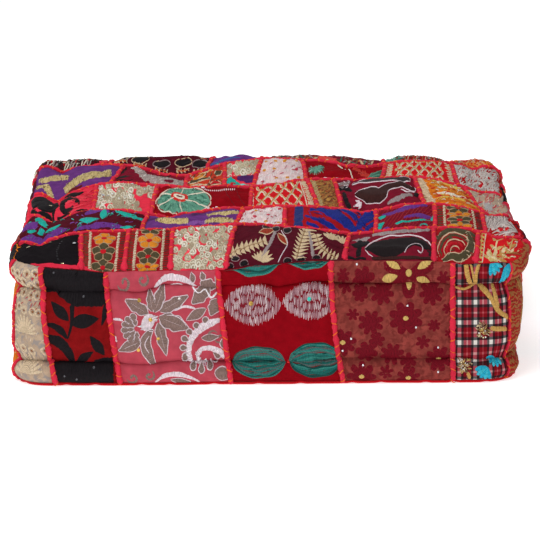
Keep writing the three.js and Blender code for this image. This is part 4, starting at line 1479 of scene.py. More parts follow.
def hatched_ovals(p, places, colour, colours, seed):
    """Ovals filled with close straight stitches that let the cloth show through."""
    draw = random.Random(seed)
    for x, z, long, tall in places:
        oval(p, x, z, long * 0.88, tall * 0.9, colour, high=0.3, rows=15)
        for at in np.arange(-long / 2 + 0.8, long / 2 - 0.7, 1.25):
            half = tall / 2 * max(0.02, 1 - (2 * at / long) ** 2) ** 0.7 * draw.uniform(0.94, 1.04)
            pieces = np.linspace(-half, half, max(2, int(half / 4.0)))
            for low, high in zip(pieces[:-1], pieces[1:]):
                low, high = low + draw.uniform(-1.6, 1.6), high + draw.uniform(-1.6, 1.6)
                lean = draw.uniform(-0.7, 0.7)
                satin(p, [(x + at + lean, z + low), (x + at - lean, z + high)], draw.uniform(0.85, 1.35),
                      draw.choice(colours), draw.uniform(0.7, 1.2), 3, 3)


def striped_ovals(p, places, colours, seed):
    """Ovals of long satin stitches that run together at both ends."""
    draw = random.Random(seed)
    for x, z, long, tall in places:
        rows = int(tall / 1.7)
        for number in range(rows + 1):
            share = -1 + 2 * number / rows
            t = np.linspace(-1, 1, 15)
            bow = np.clip(1 - t**2, 0, 1) ** 0.62
            wave = 0.6 * np.sin(t * 9 + number) + draw.uniform(-0.4, 0.4)
            line = np.stack([x + t * long / 2 * (1 - 0.02 * abs(share)), z + share * tall / 2 * bow + wave],
                            -1)
            satin(p, line, (0.8, 2.4, 2.6, 2.4, 0.8), draw.choice(colours), 1.5 - 0.6 * abs(share), 15, 4)
        for _ in range(int(long * tall / 75)):
            t = draw.uniform(-0.85, 0.85)
            at = (x + t * long / 2, z + draw.uniform(-0.9, 0.9) * tall / 2 * (1 - t * t) ** 0.6)
            satin(p, [(at[0] - 3, at[1]), (at[0] + 3, at[1] + draw.uniform(-0.8, 0.8))], 0.8,
                  draw.choice(colours[1:]), 2.0, 4, 3)


def sheer_flowers(p, places, colour, seed):
    """Flock flowers on a sheer silk, some with a glitter eye."""
    draw = random.Random(seed)
    for x, z, reach, eye in places:
        petals = 8 if reach > 14 else draw.choice((6, 7))
        flower(p, x, z, reach, petals, reach * (0.84 if petals < 8 else 0.62), colour,
               turn=draw.uniform(0, 90), form=BLUNT, high=0.45)
        oval(p, x, z, reach * 1.1, reach * 1.1, colour, high=0.5)
        if eye:
            oval(p, x, z, 7, 6.4, GOLD, high=1.8, rough=0.2)


def flower_ladder(p, flowers):
    """A column of flowers between cream ladders, with barred stripes outside."""
    for u, tone in ((0.09, dye(84, 62, 44)), (0.91, dye(80, 44, 38))):
        for v in np.arange(0.03, 1, 2.7 / p.length):
            a, b = p.at(u, v)
            satin(p, [(a - p.width * 0.085, b), (a + p.width * 0.085, b + 0.4)], 1.7, tone, 0.9, 4, 3)
    for u in (0.20, 0.80):
        satin(p, [p.at(u, 0.02), p.at(u, 0.98)], 2.7, RAIL, 1.1, across=3, rough=0.35)
        for v in np.arange(0.03, 1, 1.9 / p.length):
            a, b = p.at(u, v)
            satin(p, [(a - 1.9, b), (a + 1.9, b + 0.8)], 0.8, dye(216, 202, 178), 1.5, 4, 3)
    for v, tone, share in flowers:
        x, y = p.at(0.5, v)
        p.flat = (y, share)
        flower(p, x, y, p.width * 0.26, 5, p.width * 0.22, tone, RAIL, RED, 0.27, 90 if tone is OLIVE else 18,
               high=1.1)
        p.flat = None


def gold_swathes(p, seed, *bands):
    """Sweeping bands of gold-beige satin over purple, in short stitches of many shades."""
    for number, (width, *places) in enumerate(bands):
        lay(p, dye(200, 178, 122), (width * 0.7, width, width, width * 0.8), *places, rough=0.08)
        along_it(p, (dye(206, 184, 130), dye(226, 208, 160), dye(166, 138, 88), dye(112, 86, 54)), places,
                 width, 3.6, 0.8, 60, 24, seed + number, 1.2)


# Cloths of the patches: cottons, velvet, sheer silk, brocade and checks from old clothes, each patch cut
# from one of them.
cloth_paint("red_cotton", dye(166, 20, 24))
cloth_paint("dark_red", dye(130, 18, 20))
cloth_paint("pink_cotton", dye(186, 72, 86), worn=0.15)
cloth_paint("crimson", dye(139, 7, 20), worn=0.15)
cloth_paint("rose_sheer", dye(140, 61, 55), second=dye(114, 46, 42), thread=1.5, worn=0.3)
cloth_paint("cream_cotton", dye(184, 160, 136), second=dye(150, 139, 133))
cloth_paint("black_velvet", dye(26, 22, 25), roughness=0.95)
cloth_paint("coral_cotton", CORAL_CLOTH, worn=0.18)
cloth_paint("maroon", dye(82, 18, 32))
cloth_paint("wine", dye(122, 22, 42))
cloth_paint("purple", dye(104, 54, 122))
cloth_paint("lace_pink", dye(226, 202, 200), second=dye(216, 180, 184))
cloth_paint("bright_red", dye(206, 26, 34))
cloth_paint("ladder_red", dye(160, 22, 31))
cloth_paint("brick", dye(192, 60, 42))
cloth_paint("orange_cotton", dye(222, 120, 30))
brocade_paint("brown_brocade", dye(128, 62, 42), dye(168, 124, 64), dye(84, 66, 40), 1.7)
brocade_paint("red_brocade", dye(158, 34, 30), dye(150, 96, 56), dye(104, 40, 30), 1.6)
plaid_paint("plaid", ((0.0, dye(214, 208, 200)), (0.22, dye(32, 30, 32)), (0.37, dye(118, 15, 24)),
                      (0.55, dye(168, 84, 86)), (0.64, dye(118, 15, 24)), (0.85, dye(34, 31, 34))),
            (18.5, 24))
band_fabric = (
    "dark_red pink_cotton crimson rose_sheer plaid red_brocade maroon",
    "pink_cotton black_velvet red_brocade bright_red purple crimson",
    "brown_brocade pink_cotton maroon red_cotton rose_sheer orange_cotton cream_cotton",
)
top_fabric = (
    "black_velvet ladder_red ladder_red coral_cotton maroon wine ladder_red bright_red",
    "maroon purple lace_pink ladder_red wine ladder_red red_cotton",
    "coral_cotton coral_cotton crimson bright_red brown_brocade wine orange_cotton cream_cotton",
    "purple wine brick coral_cotton lace_pink crimson bright_red red_cotton",
    "maroon maroon purple wine red_cotton brick",
)
plots = {}
for number, fabric in enumerate(" ".join(band_fabric).split(), 1):
    patches[f"band_patch_{number}"].data.materials.append(fabrics[fabric])
    plots[f"band_{number}"] = band_plot(number)
for row, cloths in enumerate(top_fabric, 1):
    for column, fabric in enumerate(cloths.split(), 1):
        patches[f"top_patch_{row}_{column}"].data.materials.append(fabrics[fabric])
        plots[f"top_{row}_{column}"] = top_plot(row, column)
filled.data.materials.append(fabrics["coral_cotton"])

# Front band: black velvet leaves on red, a white-edged flower on pink, silk ovals on crimson, flock flowers
# on sheer silk and cord twigs on checked cotton; round the corner, cream lace rings.
velvet_leaves(plots["band_1"])
pink_bloom(plots["band_2"])
p = plots["band_3"]
LILAC = (dye(210, 184, 190), dye(192, 162, 170), dye(224, 210, 212), dye(168, 128, 138))
TEALS = (TEAL, dye(30, 102, 96), dye(54, 132, 122), dye(22, 74, 70), dye(84, 100, 98))
hatched_ovals(p, ((-18, 96, 67, 48), (49.5, 100, 66, 44)), dye(124, 28, 40), LILAC, 3)
striped_ovals(p, ((-11.5, 27, 67, 38), (55.5, 29, 67, 42), (-18, 150, 70, 36), (48, 151, 54, 24)), TEALS, 4)
bead(p, 23, 30, 5.4, "red")
sequin(p, -20, 98, 5.0, "gold")
sequin(p, 48, 103, 4.6, "turquoise")
p = plots["band_4"]
sheer_flowers(p, ((88, 132, 8, 0), (112, 128, 14, 0), (205, 128, 8, 0), (91, 116, 9, 0), (108, 108, 10, 0),
                  (133, 109, 15, 0), (191, 108, 15, 0), (99, 84, 8, 0), (120, 74, 16, 0), (161, 79, 21, 1),
                  (194, 70, 8, 0), (210, 90, 7, 0), (87, 50, 17, 1), (127, 53, 10, 0), (181, 50, 9, 0),
                  (212, 60, 6, 0), (145, 35, 15, 0), (164, 27, 11, 0), (115, 38, 14, 0), (200, 29, 17, 1),
                  (138, 13, 9, 0), (109, 8, 18, 1), (164, 6, 15, 1)), WINE, 5)
leaves(p, WINE, *((164.5, 133, way, 32, 18) for way in (-90, -25, 20, 160, 205)), form=BLUNT, high=0.5)
leaves(p, GOLD, (155, 138, 150, 20, 10), (174, 138, 28, 21, 10), (152, 131, 190, 19, 9),
       (173, 130, -18, 18, 8.5), (165, 124, -90, 13, 8.5), form=PETAL, high=1.4)
oval(p, 164.5, 134.2, 8, 8, GOLD, high=1.8)
for x, z in ((104, 143), (114, 122), (163, 94), (173, 68), (97, 55), (87, 40), (199, 43), (199, 13),
             (111, 21)):
    bead(p, x, z, 2.8, "clear")
p = plots["band_5"]
TAN = dye(196, 152, 84)
KNOTS = (GOLD, dye(150, 116, 80), dye(210, 186, 150), dye(110, 84, 60))
for places, wide in (([(231, 144), (235, 126), (246, 116), (261, 101), (270, 86), (286, 75)], 6.5),
                     ([(248, 146), (243, 128), (243, 118)], 4.5), ([(236, 146), (240, 130), (243, 118)], 3),
                     ([(262, 122), (266, 108), (270, 88)], 6), ([(260, 65), (284, 62)], 6.5),
                     ([(218, 113), (230, 111), (243, 116)], 2.5), ([(233, 14), (237, 3)], 5)):
    lay(p, TAN, wide, *places, high=1.4, rough=0.05)
for x, z, way, count in ((262, 144, -35, 6), (277, 136, -25, 5), (270, 31, -120, 6), (257, 17, -110, 5)):
    for number in range(count):
        petal(p, x, z, way - 62 + number * 24, 15, 6.5, (dye(38, 165, 195), dye(60, 180, 200))[number % 2],
              None, BLUNT, high=1.3)
for x, z, wide, tall in ((251.5, 63, 8, 11), (229.5, 21, 8, 9)):
    draw = random.Random(int(x))
    for _ in range(46):
        way = draw.uniform(0, 360)
        reach = math.sqrt(draw.random())
        a, b = x + wide * reach * math.cos(math.radians(way)), z + tall * reach * math.sin(math.radians(way))
        stitch(p, a, b, way + draw.uniform(-50, 50), 4.8, 1.0, draw.choice(KNOTS), 1.8)
    for _ in range(9):
        bead(p, x + draw.gauss(0, wide * 0.45), z + draw.gauss(0, tall * 0.45), 2.4,
             draw.choice(("pale_gold", "silver")))
p = plots["band_20"]
draw = random.Random(20)
LACE = dye(212, 190, 160)
for v, reach in ((0.09, 27), (0.42, 24)):
    for number in range(11):
        petal(p, *p.at(0.45, v), 8 + number * 16.4, reach - abs(number - 5) * 1.0, 4.0, LACE, None, DROP,
              high=1.3)
for v, count in ((0.28, 4), (0.62, 5), (0.74, 4), (0.86, 5), (0.94, 4)):
    for number in range(count):
        a, b = p.at((number + 0.5) / count + draw.uniform(-0.04, 0.04), v + draw.uniform(-0.02, 0.02))
        ring(p, a, b, 8, 8, 2.6, LACE, high=1.3)
        oval(p, a, b, 3.6, 3.6, dye(140, 92, 60), high=0.9, rows=5)
strokes(p, 30, 6, 1.1, (dye(176, 40, 52), dye(190, 60, 64)), 60, 40, 6, (0.1, 0.95, 0.62, 0.97), 1.3)
strokes(p, 90, 6, 1.0, (dye(188, 166, 140), LACE, dye(232, 214, 190)), 80, 50, 7, high=0.8)

# Top, front row: eight narrow patches of velvet, flower ladders, coils of metal thread, twigs, scrolls,
# fans and sprays. They are drawn as they are seen from the front, nearly flat.
p = plots["top_1_1"]
for u, v in ((0.5, 0.8), (0.18, 0.62), (0.66, 0.12), (0.88, 0.72)):
    sequin(p, *p.at(u, v), 3.8, "pale_gold" if u < 0.7 else "clear")
for number in range(12):
    sequin(p, *p.at(0.58 + 0.012 * number, 0.2 + 0.06 * number), 2.0, "dark")
flower_ladder(plots["top_1_2"], ((0.81, MARIGOLD, 0.5), (0.49, OLIVE, 0.78), (0.11, OLIVE, 0.78)))
flower_ladder(plots["top_1_3"], ((0.95, OLIVE, 0.4), (0.70, MARIGOLD, 0.66), (0.34, OLIVE, 0.72),
                                 (0.09, MARIGOLD, 0.4)))
METAL = (dye(220, 212, 190), dye(202, 190, 162), dye(236, 230, 214), dye(176, 160, 134))
# Metal thread as it looks in the shade between the coils' turns: partly the thread's own colour, partly
# painted shade.
METAL_IN_SHADE = dye(170, 152, 128)
p = plots["top_1_4"]
coils(p, 14, 90, METAL, 5.9, (0.05, 0.95, 0.04, 0.96), shade_under=METAL_IN_SHADE)
strokes(p, 60, 6, 1.4, METAL, 0, 90, 15, high=1.1, bow=0.3)
p = plots["top_1_5"]
BEIGE = dye(206, 182, 146)
BROWN_RED = dye(150, 52, 30)
TWIGS = dict(form=WEDGE, spine_width=1.6, taper=0.15)
fern(p, ((0.0, 0.33), (0.15, 0.43), (0.30, 0.58)), 8.5, 7.0, BEIGE, dye(160, 130, 96), step=4.6, lean=66,
     **TWIGS)
for way in range(8, 150, 20):
    leaves(p, BEIGE, (0.29, 0.10, way, 16 if way < 60 else 13, 5))
fern(p, ((0.625, 0.86), (0.61, 0.5), (0.595, 0.08)), 14, 4.6, BEIGE, dye(150, 116, 78), step=3.5, lean=112,
     sides=(0.6, 1), **TWIGS)
fern(p, ((0.735, 0.72), (0.79, 0.36), (0.93, 0.08)), 11, 4.8, BEIGE, dye(150, 116, 78), step=3.7, lean=88,
     sides=(1, 0.6), **TWIGS)
lay(p, GREY, (4, 4.5, 4), (0.375, 0.80), (0.345, 0.46), (0.287, 0.14), rough=0.3)
lay(p, GREY, (4, 4.5, 3.5), (0.66, 0.84), (0.70, 0.52), (0.73, 0.10), rough=0.3)
leaves(p, BROWN_RED, (0.36, 0.84, 188, 18, 7.5), (0.40, 0.76, -50, 17, 6.5), edge=BEIGE)
lay(p, PALE, 1.2, (0.42, 0.84), (0.50, 0.52), (0.465, 0.2), (0.44, 0.03), high=0.9)
for u, v in ((0.28, 0.94), (0.475, 0.84), (0.37, 0.88), (0.075, 0.20), (0.03, 0.04), (0.15, 0.06),
             (0.52, 0.05), (0.63, 0.05), (0.76, 0.04)):
    oval(p, *p.at(u, v), 9, 6, BLACK, 10, 1.0)
    ring(p, *p.at(u, v), 10, 7, 0.9, GREY, 10)
for u, v in ((0.86, 0.66), (0.96, 0.58)):
    for way in range(30, 170, 28):
        leaves(p, BEIGE, (u, v, way, 12, 4.5))
p = plots["top_1_6"]
DARK_BROWN = dye(58, 30, 28)
lay(p, dye(30, 22, 24), (1.5, 15, 21, 22, 18, 10.5, 10.5, 9, 3), (0.22, 0.36), (0.29, 0.38), (0.40, 0.375),
    (0.54, 0.40), (0.66, 0.49), (0.785, 0.55), (0.89, 0.45), (0.96, 0.28), (0.954, 0.13), high=1.0,
    rough=0.03)
for places in (((0.223, 0.38), (0.254, 0.51), (0.34, 0.64), (0.40, 0.70), (0.66, 0.745), (0.815, 0.70),
                (0.94, 0.55), (0.99, 0.34), (0.977, 0.17)),
               ((0.223, 0.36), (0.26, 0.21), (0.315, 0.11)),
               ((0.67, 0.21), (0.69, 0.34), (0.75, 0.45), (0.83, 0.45), (0.87, 0.34), (0.854, 0.23),
                (0.81, 0.30))):
    lay(p, PALE, 1.2, *places, high=1.2)
lay(p, GREY, (4, 6, 6.5, 6, 5), (0.277, 0.85), (0.43, 0.87), (0.585, 0.89), (0.75, 0.91), (0.95, 0.99),
    rough=0.2)
lay(p, BLACK, 7, (0.146, 0.72), (0.146, 0.12))
lay(p, BLACK, (2, 7, 7, 2), (0.05, 0.58), (0.11, 0.54), (0.19, 0.54), (0.26, 0.60))
lay(p, GREY, (2, 6, 6, 2), (0.05, 0.74), (0.12, 0.70), (0.2, 0.70), (0.26, 0.74), rough=0.3)
lay(p, BLACK, 4, (0.02, 0.05), (0.24, 0.05))
lay(p, DARK_BROWN, 6, (0.30, 0.04), (0.6, 0.05), (0.99, 0.06))
p = plots["top_1_7"]
for number, (reach, width, tone) in enumerate(((0.50, 6, OLIVE), (0.41, 1.3, CREAM), (0.35, 3.5, OLIVE),
                                               (0.26, 1.3, CREAM), (0.19, 3.5, RED), (0.11, 1.3, CREAM))):
    lay(p, tone, (width * 0.3, width, width, width, width * 0.3),
        *((0.50 + reach * math.cos(t), 0.36 + reach * 1.2 * math.sin(t)) for t in np.linspace(3.6, 0.5, 7)),
        rough=0.2)
lay(p, OLIVE, (3, 8, 9, 10, 8, 4), (0.20, 0.05), (0.42, 0.20), (0.62, 0.18), (0.80, 0.34), (0.86, 0.6),
    (0.78, 0.84), rough=0.15, edge=CREAM)
lay(p, OLIVE, (2, 6, 6, 2), (0.40, 0.94), (0.60, 0.88), (0.80, 0.90), (0.98, 0.84), rough=0.2)
lay(p, CREAM, 1.2, (0.08, 0.04), (0.03, 0.3), (0.06, 0.65), (0.18, 0.9), rough=0.3)
strokes(p, 26, 6, 1.2, (OLIVE, CREAM, dye(120, 40, 34)), 20, 60, 9, high=1.5, bow=0.3)
p = plots["top_1_8"]
SPRAY = (dye(204, 172, 110), dye(224, 206, 160), dye(190, 140, 76), IVORY)
fern(p, ((0.09, 0.02), (0.10, 0.98)), 5, 3.0, GOLD, GOLD, step=4, lean=60, spine_width=1.2, taper=0)
lay(p, IVORY, 1.2, (0.18, 0.02), (0.18, 0.98))
fern(p, ((0.36, 0.10), (0.42, 0.45), (0.46, 0.86)), 12, 6.4, SPRAY[0], SPRAY[1], step=6.5, lean=62)
fern(p, ((0.28, 0.22), (0.60, 0.30), (0.98, 0.52)), 13, 6.4, SPRAY[1], SPRAY[2], step=7, lean=48)
fern(p, ((0.68, 0.06), (0.78, 0.5), (0.84, 0.94)), 11, 5.6, SPRAY[2], SPRAY[0], step=6.5, lean=55)
strokes(p, 14, 6, 0.9, (IVORY, dye(226, 60, 50), SPRAY[1]), 30, 60, 19, (0.22, 0.98, 0.04, 0.96), 1.5, 0.3)

# Top, second row: purple and sea-blue vines, gold swathes, pale lace with knots, blue leaves on red, a
# flower ladder and grey fans, in floss over cotton.
SEA = dye(92, 148, 126)
DEEP_SEA = dye(56, 104, 86)
p = plots["top_2_1"]
lay(p, PURPLE, (3, 10, 12, 6), (0.0, 0.14), (0.06, 0.18), (0.14, 0.14), (0.22, 0.08))
lay(p, PURPLE, (6, 9, 5), (0.0, 0.56), (0.06, 0.62), (0.13, 0.66))
lay(p, PURPLE, (2, 9, 8, 2), (0.16, 0.10), (0.24, 0.22), (0.33, 0.30), (0.40, 0.30))
lay(p, PURPLE, (2, 6, 7, 5, 1), (0.44, 0.20), (0.56, 0.26), (0.68, 0.30), (0.80, 0.24), (0.90, 0.16))
lay(p, PURPLE, (2, 7, 7, 3), (0.50, 0.76), (0.57, 0.88), (0.65, 0.90), (0.70, 0.78))
lay(p, AQUA, (5, 6, 5, 2), (0.03, 0.86), (0.08, 0.90), (0.14, 0.84), (0.20, 0.70))
leaves(p, AQUA, (0.12, 0.74, -25, 14, 4.5), (0.20, 0.46, 27, 21, 6), (0.05, 0.40, 5, 11, 6),
       (0.13, 0.40, 20, 10, 8), (0.47, 0.55, 4, 25, 7), (0.66, 0.52, 80, 13, 10), (0.54, 0.06, 6, 20, 3),
       (0.80, 0.20, -2, 18, 4.5), high=1.3)
lay(p, AQUA, (2, 6, 6, 5, 4), (0.72, 0.94), (0.78, 0.84), (0.86, 0.76), (0.93, 0.72), (0.99, 0.68), high=1.2,
    rough=0.25)
strokes(p, 90, 5, 0.8, (dye(134, 78, 160), dye(60, 190, 176), dye(84, 18, 34), dye(18, 130, 120)), 20, 40, 41,
        high=1.5)
p = plots["top_2_2"]
lay(p, dye(72, 32, 86), 6.5, (0.0, 0.7), (0.12, 0.75), (0.20, 0.80))
lay(p, dye(72, 32, 86), 6.5, (0.49, 0.66), (0.56, 0.76), (0.64, 0.82))
lay(p, dye(130, 78, 152), 5, (0.47, 0.24), (0.56, 0.28), (0.68, 0.30))
gold_swathes(p, 22, (7, (0.14, 0.52), (0.30, 0.45), (0.49, 0.38)),
             (5, (0.67, 0.62), (0.82, 0.70), (0.99, 0.80)), (6, (0.67, 0.32), (0.82, 0.34), (0.99, 0.26)))


def lace(p, seed):
    """Close pale stitches all ways, with gold and red knots."""
    strokes(p, 260, 5.5, 1.2, (dye(232, 216, 214), dye(218, 196, 196), dye(240, 230, 230)), 65, 35, seed,
            high=0.9)
    draw = random.Random(seed)
    for u in (0.14, 0.38, 0.62, 0.86):
        for v in (0.2, 0.52, 0.84):
            if draw.random() < 0.75:
                oval(p, *p.at(u + draw.uniform(-0.06, 0.06), v + draw.uniform(-0.06, 0.06)), 5.4, 2.6,
                     draw.choice((dye(208, 142, 44), dye(208, 142, 44), dye(196, 60, 80))),
                     draw.uniform(-20, 20), 1.7, rows=5)
    strokes(p, 16, 5, 0.7, (dye(190, 60, 84),), 20, 40, seed + 1, high=1.6)


lace(plots["top_2_3"], 23)
p = plots["top_2_4"]
BLUE = dye(24, 38, 128)
lay(p, dye(40, 52, 112), 12, (0.153, 0.02), (0.153, 0.98))
lay(p, BLUE, (3, 11, 14, 12, 8), (0.27, 0.80), (0.42, 0.88), (0.55, 0.70), (0.68, 0.40), (0.78, 0.10))
lay(p, BLUE, (2, 5, 7, 3), (0.22, 0.55), (0.34, 0.45), (0.48, 0.28), (0.60, 0.06))
lay(p, BLUE, 4, (0.24, 0.30), (0.38, 0.14))
lay(p, BLUE, (8, 10, 5), (0.60, 0.95), (0.72, 0.80), (0.80, 0.55))
lay(p, BLUE, (16, 14, 10, 6), (0.98, 0.90), (0.90, 0.70), (0.84, 0.45), (0.80, 0.20))
lay(p, BLUE, (6, 6, 3), (0.99, 0.45), (0.93, 0.30), (0.88, 0.10))
strokes(p, 60, 7, 0.8, (dye(40, 58, 160), dye(16, 26, 96), dye(30, 46, 140)), -40, 20, 24,
        (0.28, 0.98, 0.1, 0.95), 1.5)
p = plots["top_2_5"]
for number in range(22):
    u = number / 16 - 0.32
    lay(p, dye(150, 24, 34), 1.3, (u, 0.02), (u + 0.36, 0.98), high=0.7)
lay(p, PURPLE, (4, 9, 9, 6, 3), (0.10, 0.72), (0.22, 0.76), (0.40, 0.78), (0.63, 0.87), (0.88, 0.95))
lay(p, PURPLE, (2, 5.5, 6, 3), (0.46, 0.42), (0.60, 0.48), (0.78, 0.50), (0.95, 0.48))
leaves(p, PURPLE, (0.10, 0.10, 12, 10, 5))
leaves(p, AQUA, (0.02, 0.56, 25, 13, 6), (0.02, 0.30, 20, 10, 5), (0.02, 0.14, 30, 8, 4),
       (0.92, 0.40, 10, 9, 9), high=1.4)
lay(p, AQUA, 2.4, (0.32, 0.27), (0.6, 0.30), (0.95, 0.34), high=1.4, rough=0.3)
ring(p, *p.at(0.81, 0.12), 9, 5, 1.8, AQUA, high=1.3)
lay(p, GOLD, 1.2, (0.44, 0.92), (0.52, 0.98), (0.62, 0.96), high=1.6)
flower_ladder(plots["top_2_6"], ((0.88, OLIVE, 0.4), (0.62, MARIGOLD, 0.4), (0.36, OLIVE, 0.4),
                                 (0.10, MARIGOLD, 0.4)))
p = plots["top_2_7"]
GREYS = (dye(196, 186, 180), dye(168, 156, 152), dye(214, 204, 198), dye(134, 120, 118))


def grey_fans(p, seed, fans):
    """Fans of long grey and silver stitches over red."""
    for way, u, v, spread, reach in fans:
        for number in range(11):
            petal(p, *p.at(u, v), way - spread / 2 + number * spread / 10, reach, 2.2, GREYS[number % 4],
                  None, LEAF, high=1.3)
    strokes(p, 110, 7, 1.4, GREYS[:3], 30, 40, seed, high=1.1, bow=0.2)


grey_fans(p, 27, ((40, 0.06, 0.45, 90, 20), (70, 0.30, 0.40, 80, 18), (150, 0.92, 0.30, 80, 22),
                  (110, 0.70, 0.60, 90, 15)))
for u, v in ((0.46, 0.34), (0.64, 0.34)):
    oval(p, *p.at(u, v), 7, 5.4, dye(206, 24, 34), 20, 1.8, rows=6)

# Top, third row: black vines and metal coils on coral, a sea-green leaf on crimson, a cream net, a leaf
# border, dark leaves on wine, curved stripes and loose stitches.
p = plots["top_3_1"]
lay(p, BLACK, (13, 16, 15, 12, 5), (0.01, 0.52), (0.10, 0.64), (0.24, 0.56), (0.34, 0.60), (0.44, 0.70),
    rough=0.05)
lay(p, BLACK, (9, 7, 7, 7, 2), (0.01, 0.30), (0.08, 0.12), (0.18, 0.20), (0.28, 0.20), (0.36, 0.06))
lay(p, BLACK, (6, 5, 3), (0.38, 0.62), (0.36, 0.36), (0.38, 0.10))
curl(p, *p.at(0.60, 0.40), 14, 10, 1, 7.5, BLACK, 1.0)
lay(p, BLACK, (1, 6, 6, 1), (0.50, 0.92), (0.58, 0.90), (0.70, 0.86), (0.81, 0.86))
lay(p, BLACK, (1, 5, 5, 1), (0.66, 0.05), (0.74, 0.08), (0.82, 0.10), (0.92, 0.08))
lay(p, BLACK, (4, 9, 5), (0.42, 0.20), (0.52, 0.10), (0.64, 0.10))
sequin(p, *p.at(0.30, 0.60), 4.2, "pale_gold")
strokes(p, 60, 16, 1.3, (dye(210, 36, 56), dye(236, 74, 88), dye(190, 28, 46)), 14, 6, 31,
        (0.62, 0.98, 0.1, 0.9), 0.9)
p = plots["top_3_2"]
for seed, count, area in ((32, 15, (0.06, 0.96, 0.68, 0.94)), (33, 16, (0.04, 0.62, 0.36, 0.66)),
                          (35, 14, (0.04, 0.8, 0.08, 0.34))):
    coils(p, seed, count, METAL, 6.6, area, 1.9, shade_under=METAL_IN_SHADE)
strokes(p, 40, 5, 1.3, METAL, 0, 90, 34, (0.05, 0.6, 0.1, 0.95), 1.1, 0.3)
sequin(p, *p.at(0.12, 0.62), 4.5, "clear")
sequin(p, *p.at(0.21, 0.58), 4.5, "clear")


def sea_leaf(p, u, v, length, width, eye):
    """A broad sea-green leaf in long stitches that run out from a ringed eye."""
    x, y = p.at(u, v)
    ex, ey = p.at(*eye)
    draw = random.Random(int(x))
    oval(p, x, y, length, width, SEA, high=1.0, rows=17)
    around = np.linspace(0, math.tau, 60)
    reach = 1 + 0.05 * np.abs(np.sin(around * 4.5))
    rim_at = np.stack([x + length / 2 * reach * np.cos(around), y + width / 2 * reach * np.sin(around)],
                      axis=-1)
    satin(p, rim_at, 1.3, IVORY, 1.3, 70, 3)
    for number in range(130):
        end = np.array(rim_at[draw.randrange(59)])
        start = np.array((ex, ey))
        near = draw.uniform(0.2, 0.75)
        far = min(0.97, near + draw.uniform(0.12, 0.3))
        satin(p, [start + (end - start) * near, start + (end - start) * far], 1.0,
              draw.choice((DEEP_SEA, dye(122, 176, 152), dye(74, 126, 106))), 1.8, 3, 3)
    for number in (6, 15, 24, 33, 44, 54):
        satin(p, [(ex, ey), rim_at[number]], 1.2, IVORY, 2.1, 8, 3)
    oval(p, ex, ey, 24, 12, dye(206, 40, 34), 0, 2.2)
    oval(p, ex, ey, 17, 8.5, IVORY, 0, 2.6)
    oval(p, ex, ey, 10, 4.6, dye(110, 14, 24), 0, 3.0)


p = plots["top_3_3"]
sea_leaf(p, 0.32, 0.46, 66, 31, (0.27, 0.60))
for number in range(16):
    oval(p, *p.at(0.52 + number * 0.020, 0.84 - 0.10 * math.sin(number / 5)), 1.8, 1.8, PALE, 0, 1.3, rows=4)
oval(p, *p.at(0.49, 0.93), 5, 3, PALE, 0, 1.3)
for u, v in ((0.58, 0.12), (0.63, 0.10), (0.55, 0.20), (0.66, 0.14)):
    oval(p, *p.at(u, v), 4, 2.4, PALE, 0, 1.2, rows=5)
lay(p, dye(110, 10, 22), 1.2, (0.72, 0.80), (0.78, 0.45), (0.86, 0.10), high=0.7)
lay(p, dye(110, 10, 22), 1.2, (0.84, 0.84), (0.88, 0.50), (0.94, 0.16), high=0.7)


def net_field(p, u0, u1, across, up):
    """A net of cream cord over red, with a gold thread along each cord."""
    lattice(p, u0, u1, 0.03, 0.97, across, up, 3.2, IVORY)
    lattice(p, u0, u1, 0.03, 0.97, across, up, 0.8, dye(204, 150, 66), 1.9)


def leaf_border(p, u, colour=CREAM):
    """A line of small paired leaves that runs up one side of a patch."""
    fern(p, ((u, 0.03), (u, 0.97)), 4.6, 2.8, colour, colour, step=2.6, lean=58, spine_width=1.2, taper=0)


p = plots["top_3_4"]
net_field(p, 0.08, 0.82, 4, 2)
leaf_border(p, 0.92)
lay(p, IVORY, 1.4, (0.85, 0.02), (0.85, 0.98))
lay(p, IVORY, 2.0, (0.04, 0.02), (0.03, 0.98), rough=0.4)
p = plots["top_3_5"]
leaf_border(p, 0.16, dye(180, 156, 110))
strokes(p, 90, 5, 0.9, (dye(168, 124, 64), dye(108, 50, 34), dye(150, 40, 36), dye(84, 70, 44)), 35, 20, 36,
        (0.28, 0.96, 0.04, 0.96), 0.9)
p = plots["top_3_6"]
SLATE = dye(58, 52, 54)
lay(p, SLATE, (1, 4, 8, 8, 5), (0.1875, 0.79), (0.33, 0.87), (0.515, 0.915), (0.72, 0.915), (0.92, 0.89),
    edge=PALE)
lay(p, DARK_BROWN, (1.5, 14, 20, 18, 9, 6, 6, 6.5, 3), (0.19, 0.51), (0.28, 0.51), (0.39, 0.47), (0.5, 0.49),
    (0.59, 0.62), (0.69, 0.66), (0.80, 0.68), (0.89, 0.6), (0.95, 0.55), edge=PALE, rim=1.1, rough=0.03)
lay(p, PALE, 1.1, (0.766, 0.55), (0.83, 0.43), (0.94, 0.51), high=1.6)
lay(p, GREY, (3, 6, 6, 4), (0.56, 0.17), (0.69, 0.26), (0.80, 0.32), (0.89, 0.34), rough=0.2)
leaves(p, PALE, (0.26, 0.30, 195, 12, 5), (0.25, 0.28, 240, 8, 4), (0.24, 0.32, 150, 7, 3.5))
leaves(p, BLACK, (0.90, 0.34, 20, 9, 6))
lay(p, BLACK, (5, 7, 5), (0.075, 0.62), (0.08, 0.30), (0.12, 0.06))
lay(p, BLACK, (2, 6, 6, 2), (0.0, 0.64), (0.05, 0.72), (0.12, 0.70), (0.18, 0.62))
lay(p, GREYS[3], (2, 6, 5, 2), (0.0, 0.90), (0.06, 0.86), (0.12, 0.84), (0.18, 0.88), rough=0.3)
strokes(p, 16, 4, 0.8, (PALE, GREY), 0, 50, 37, (0.0, 0.18, 0.7, 0.95), 1.7)
lay(p, BLACK, (2, 5, 2), (0.05, 0.05), (0.15, 0.07), (0.22, 0.05))
p = plots["top_3_7"]
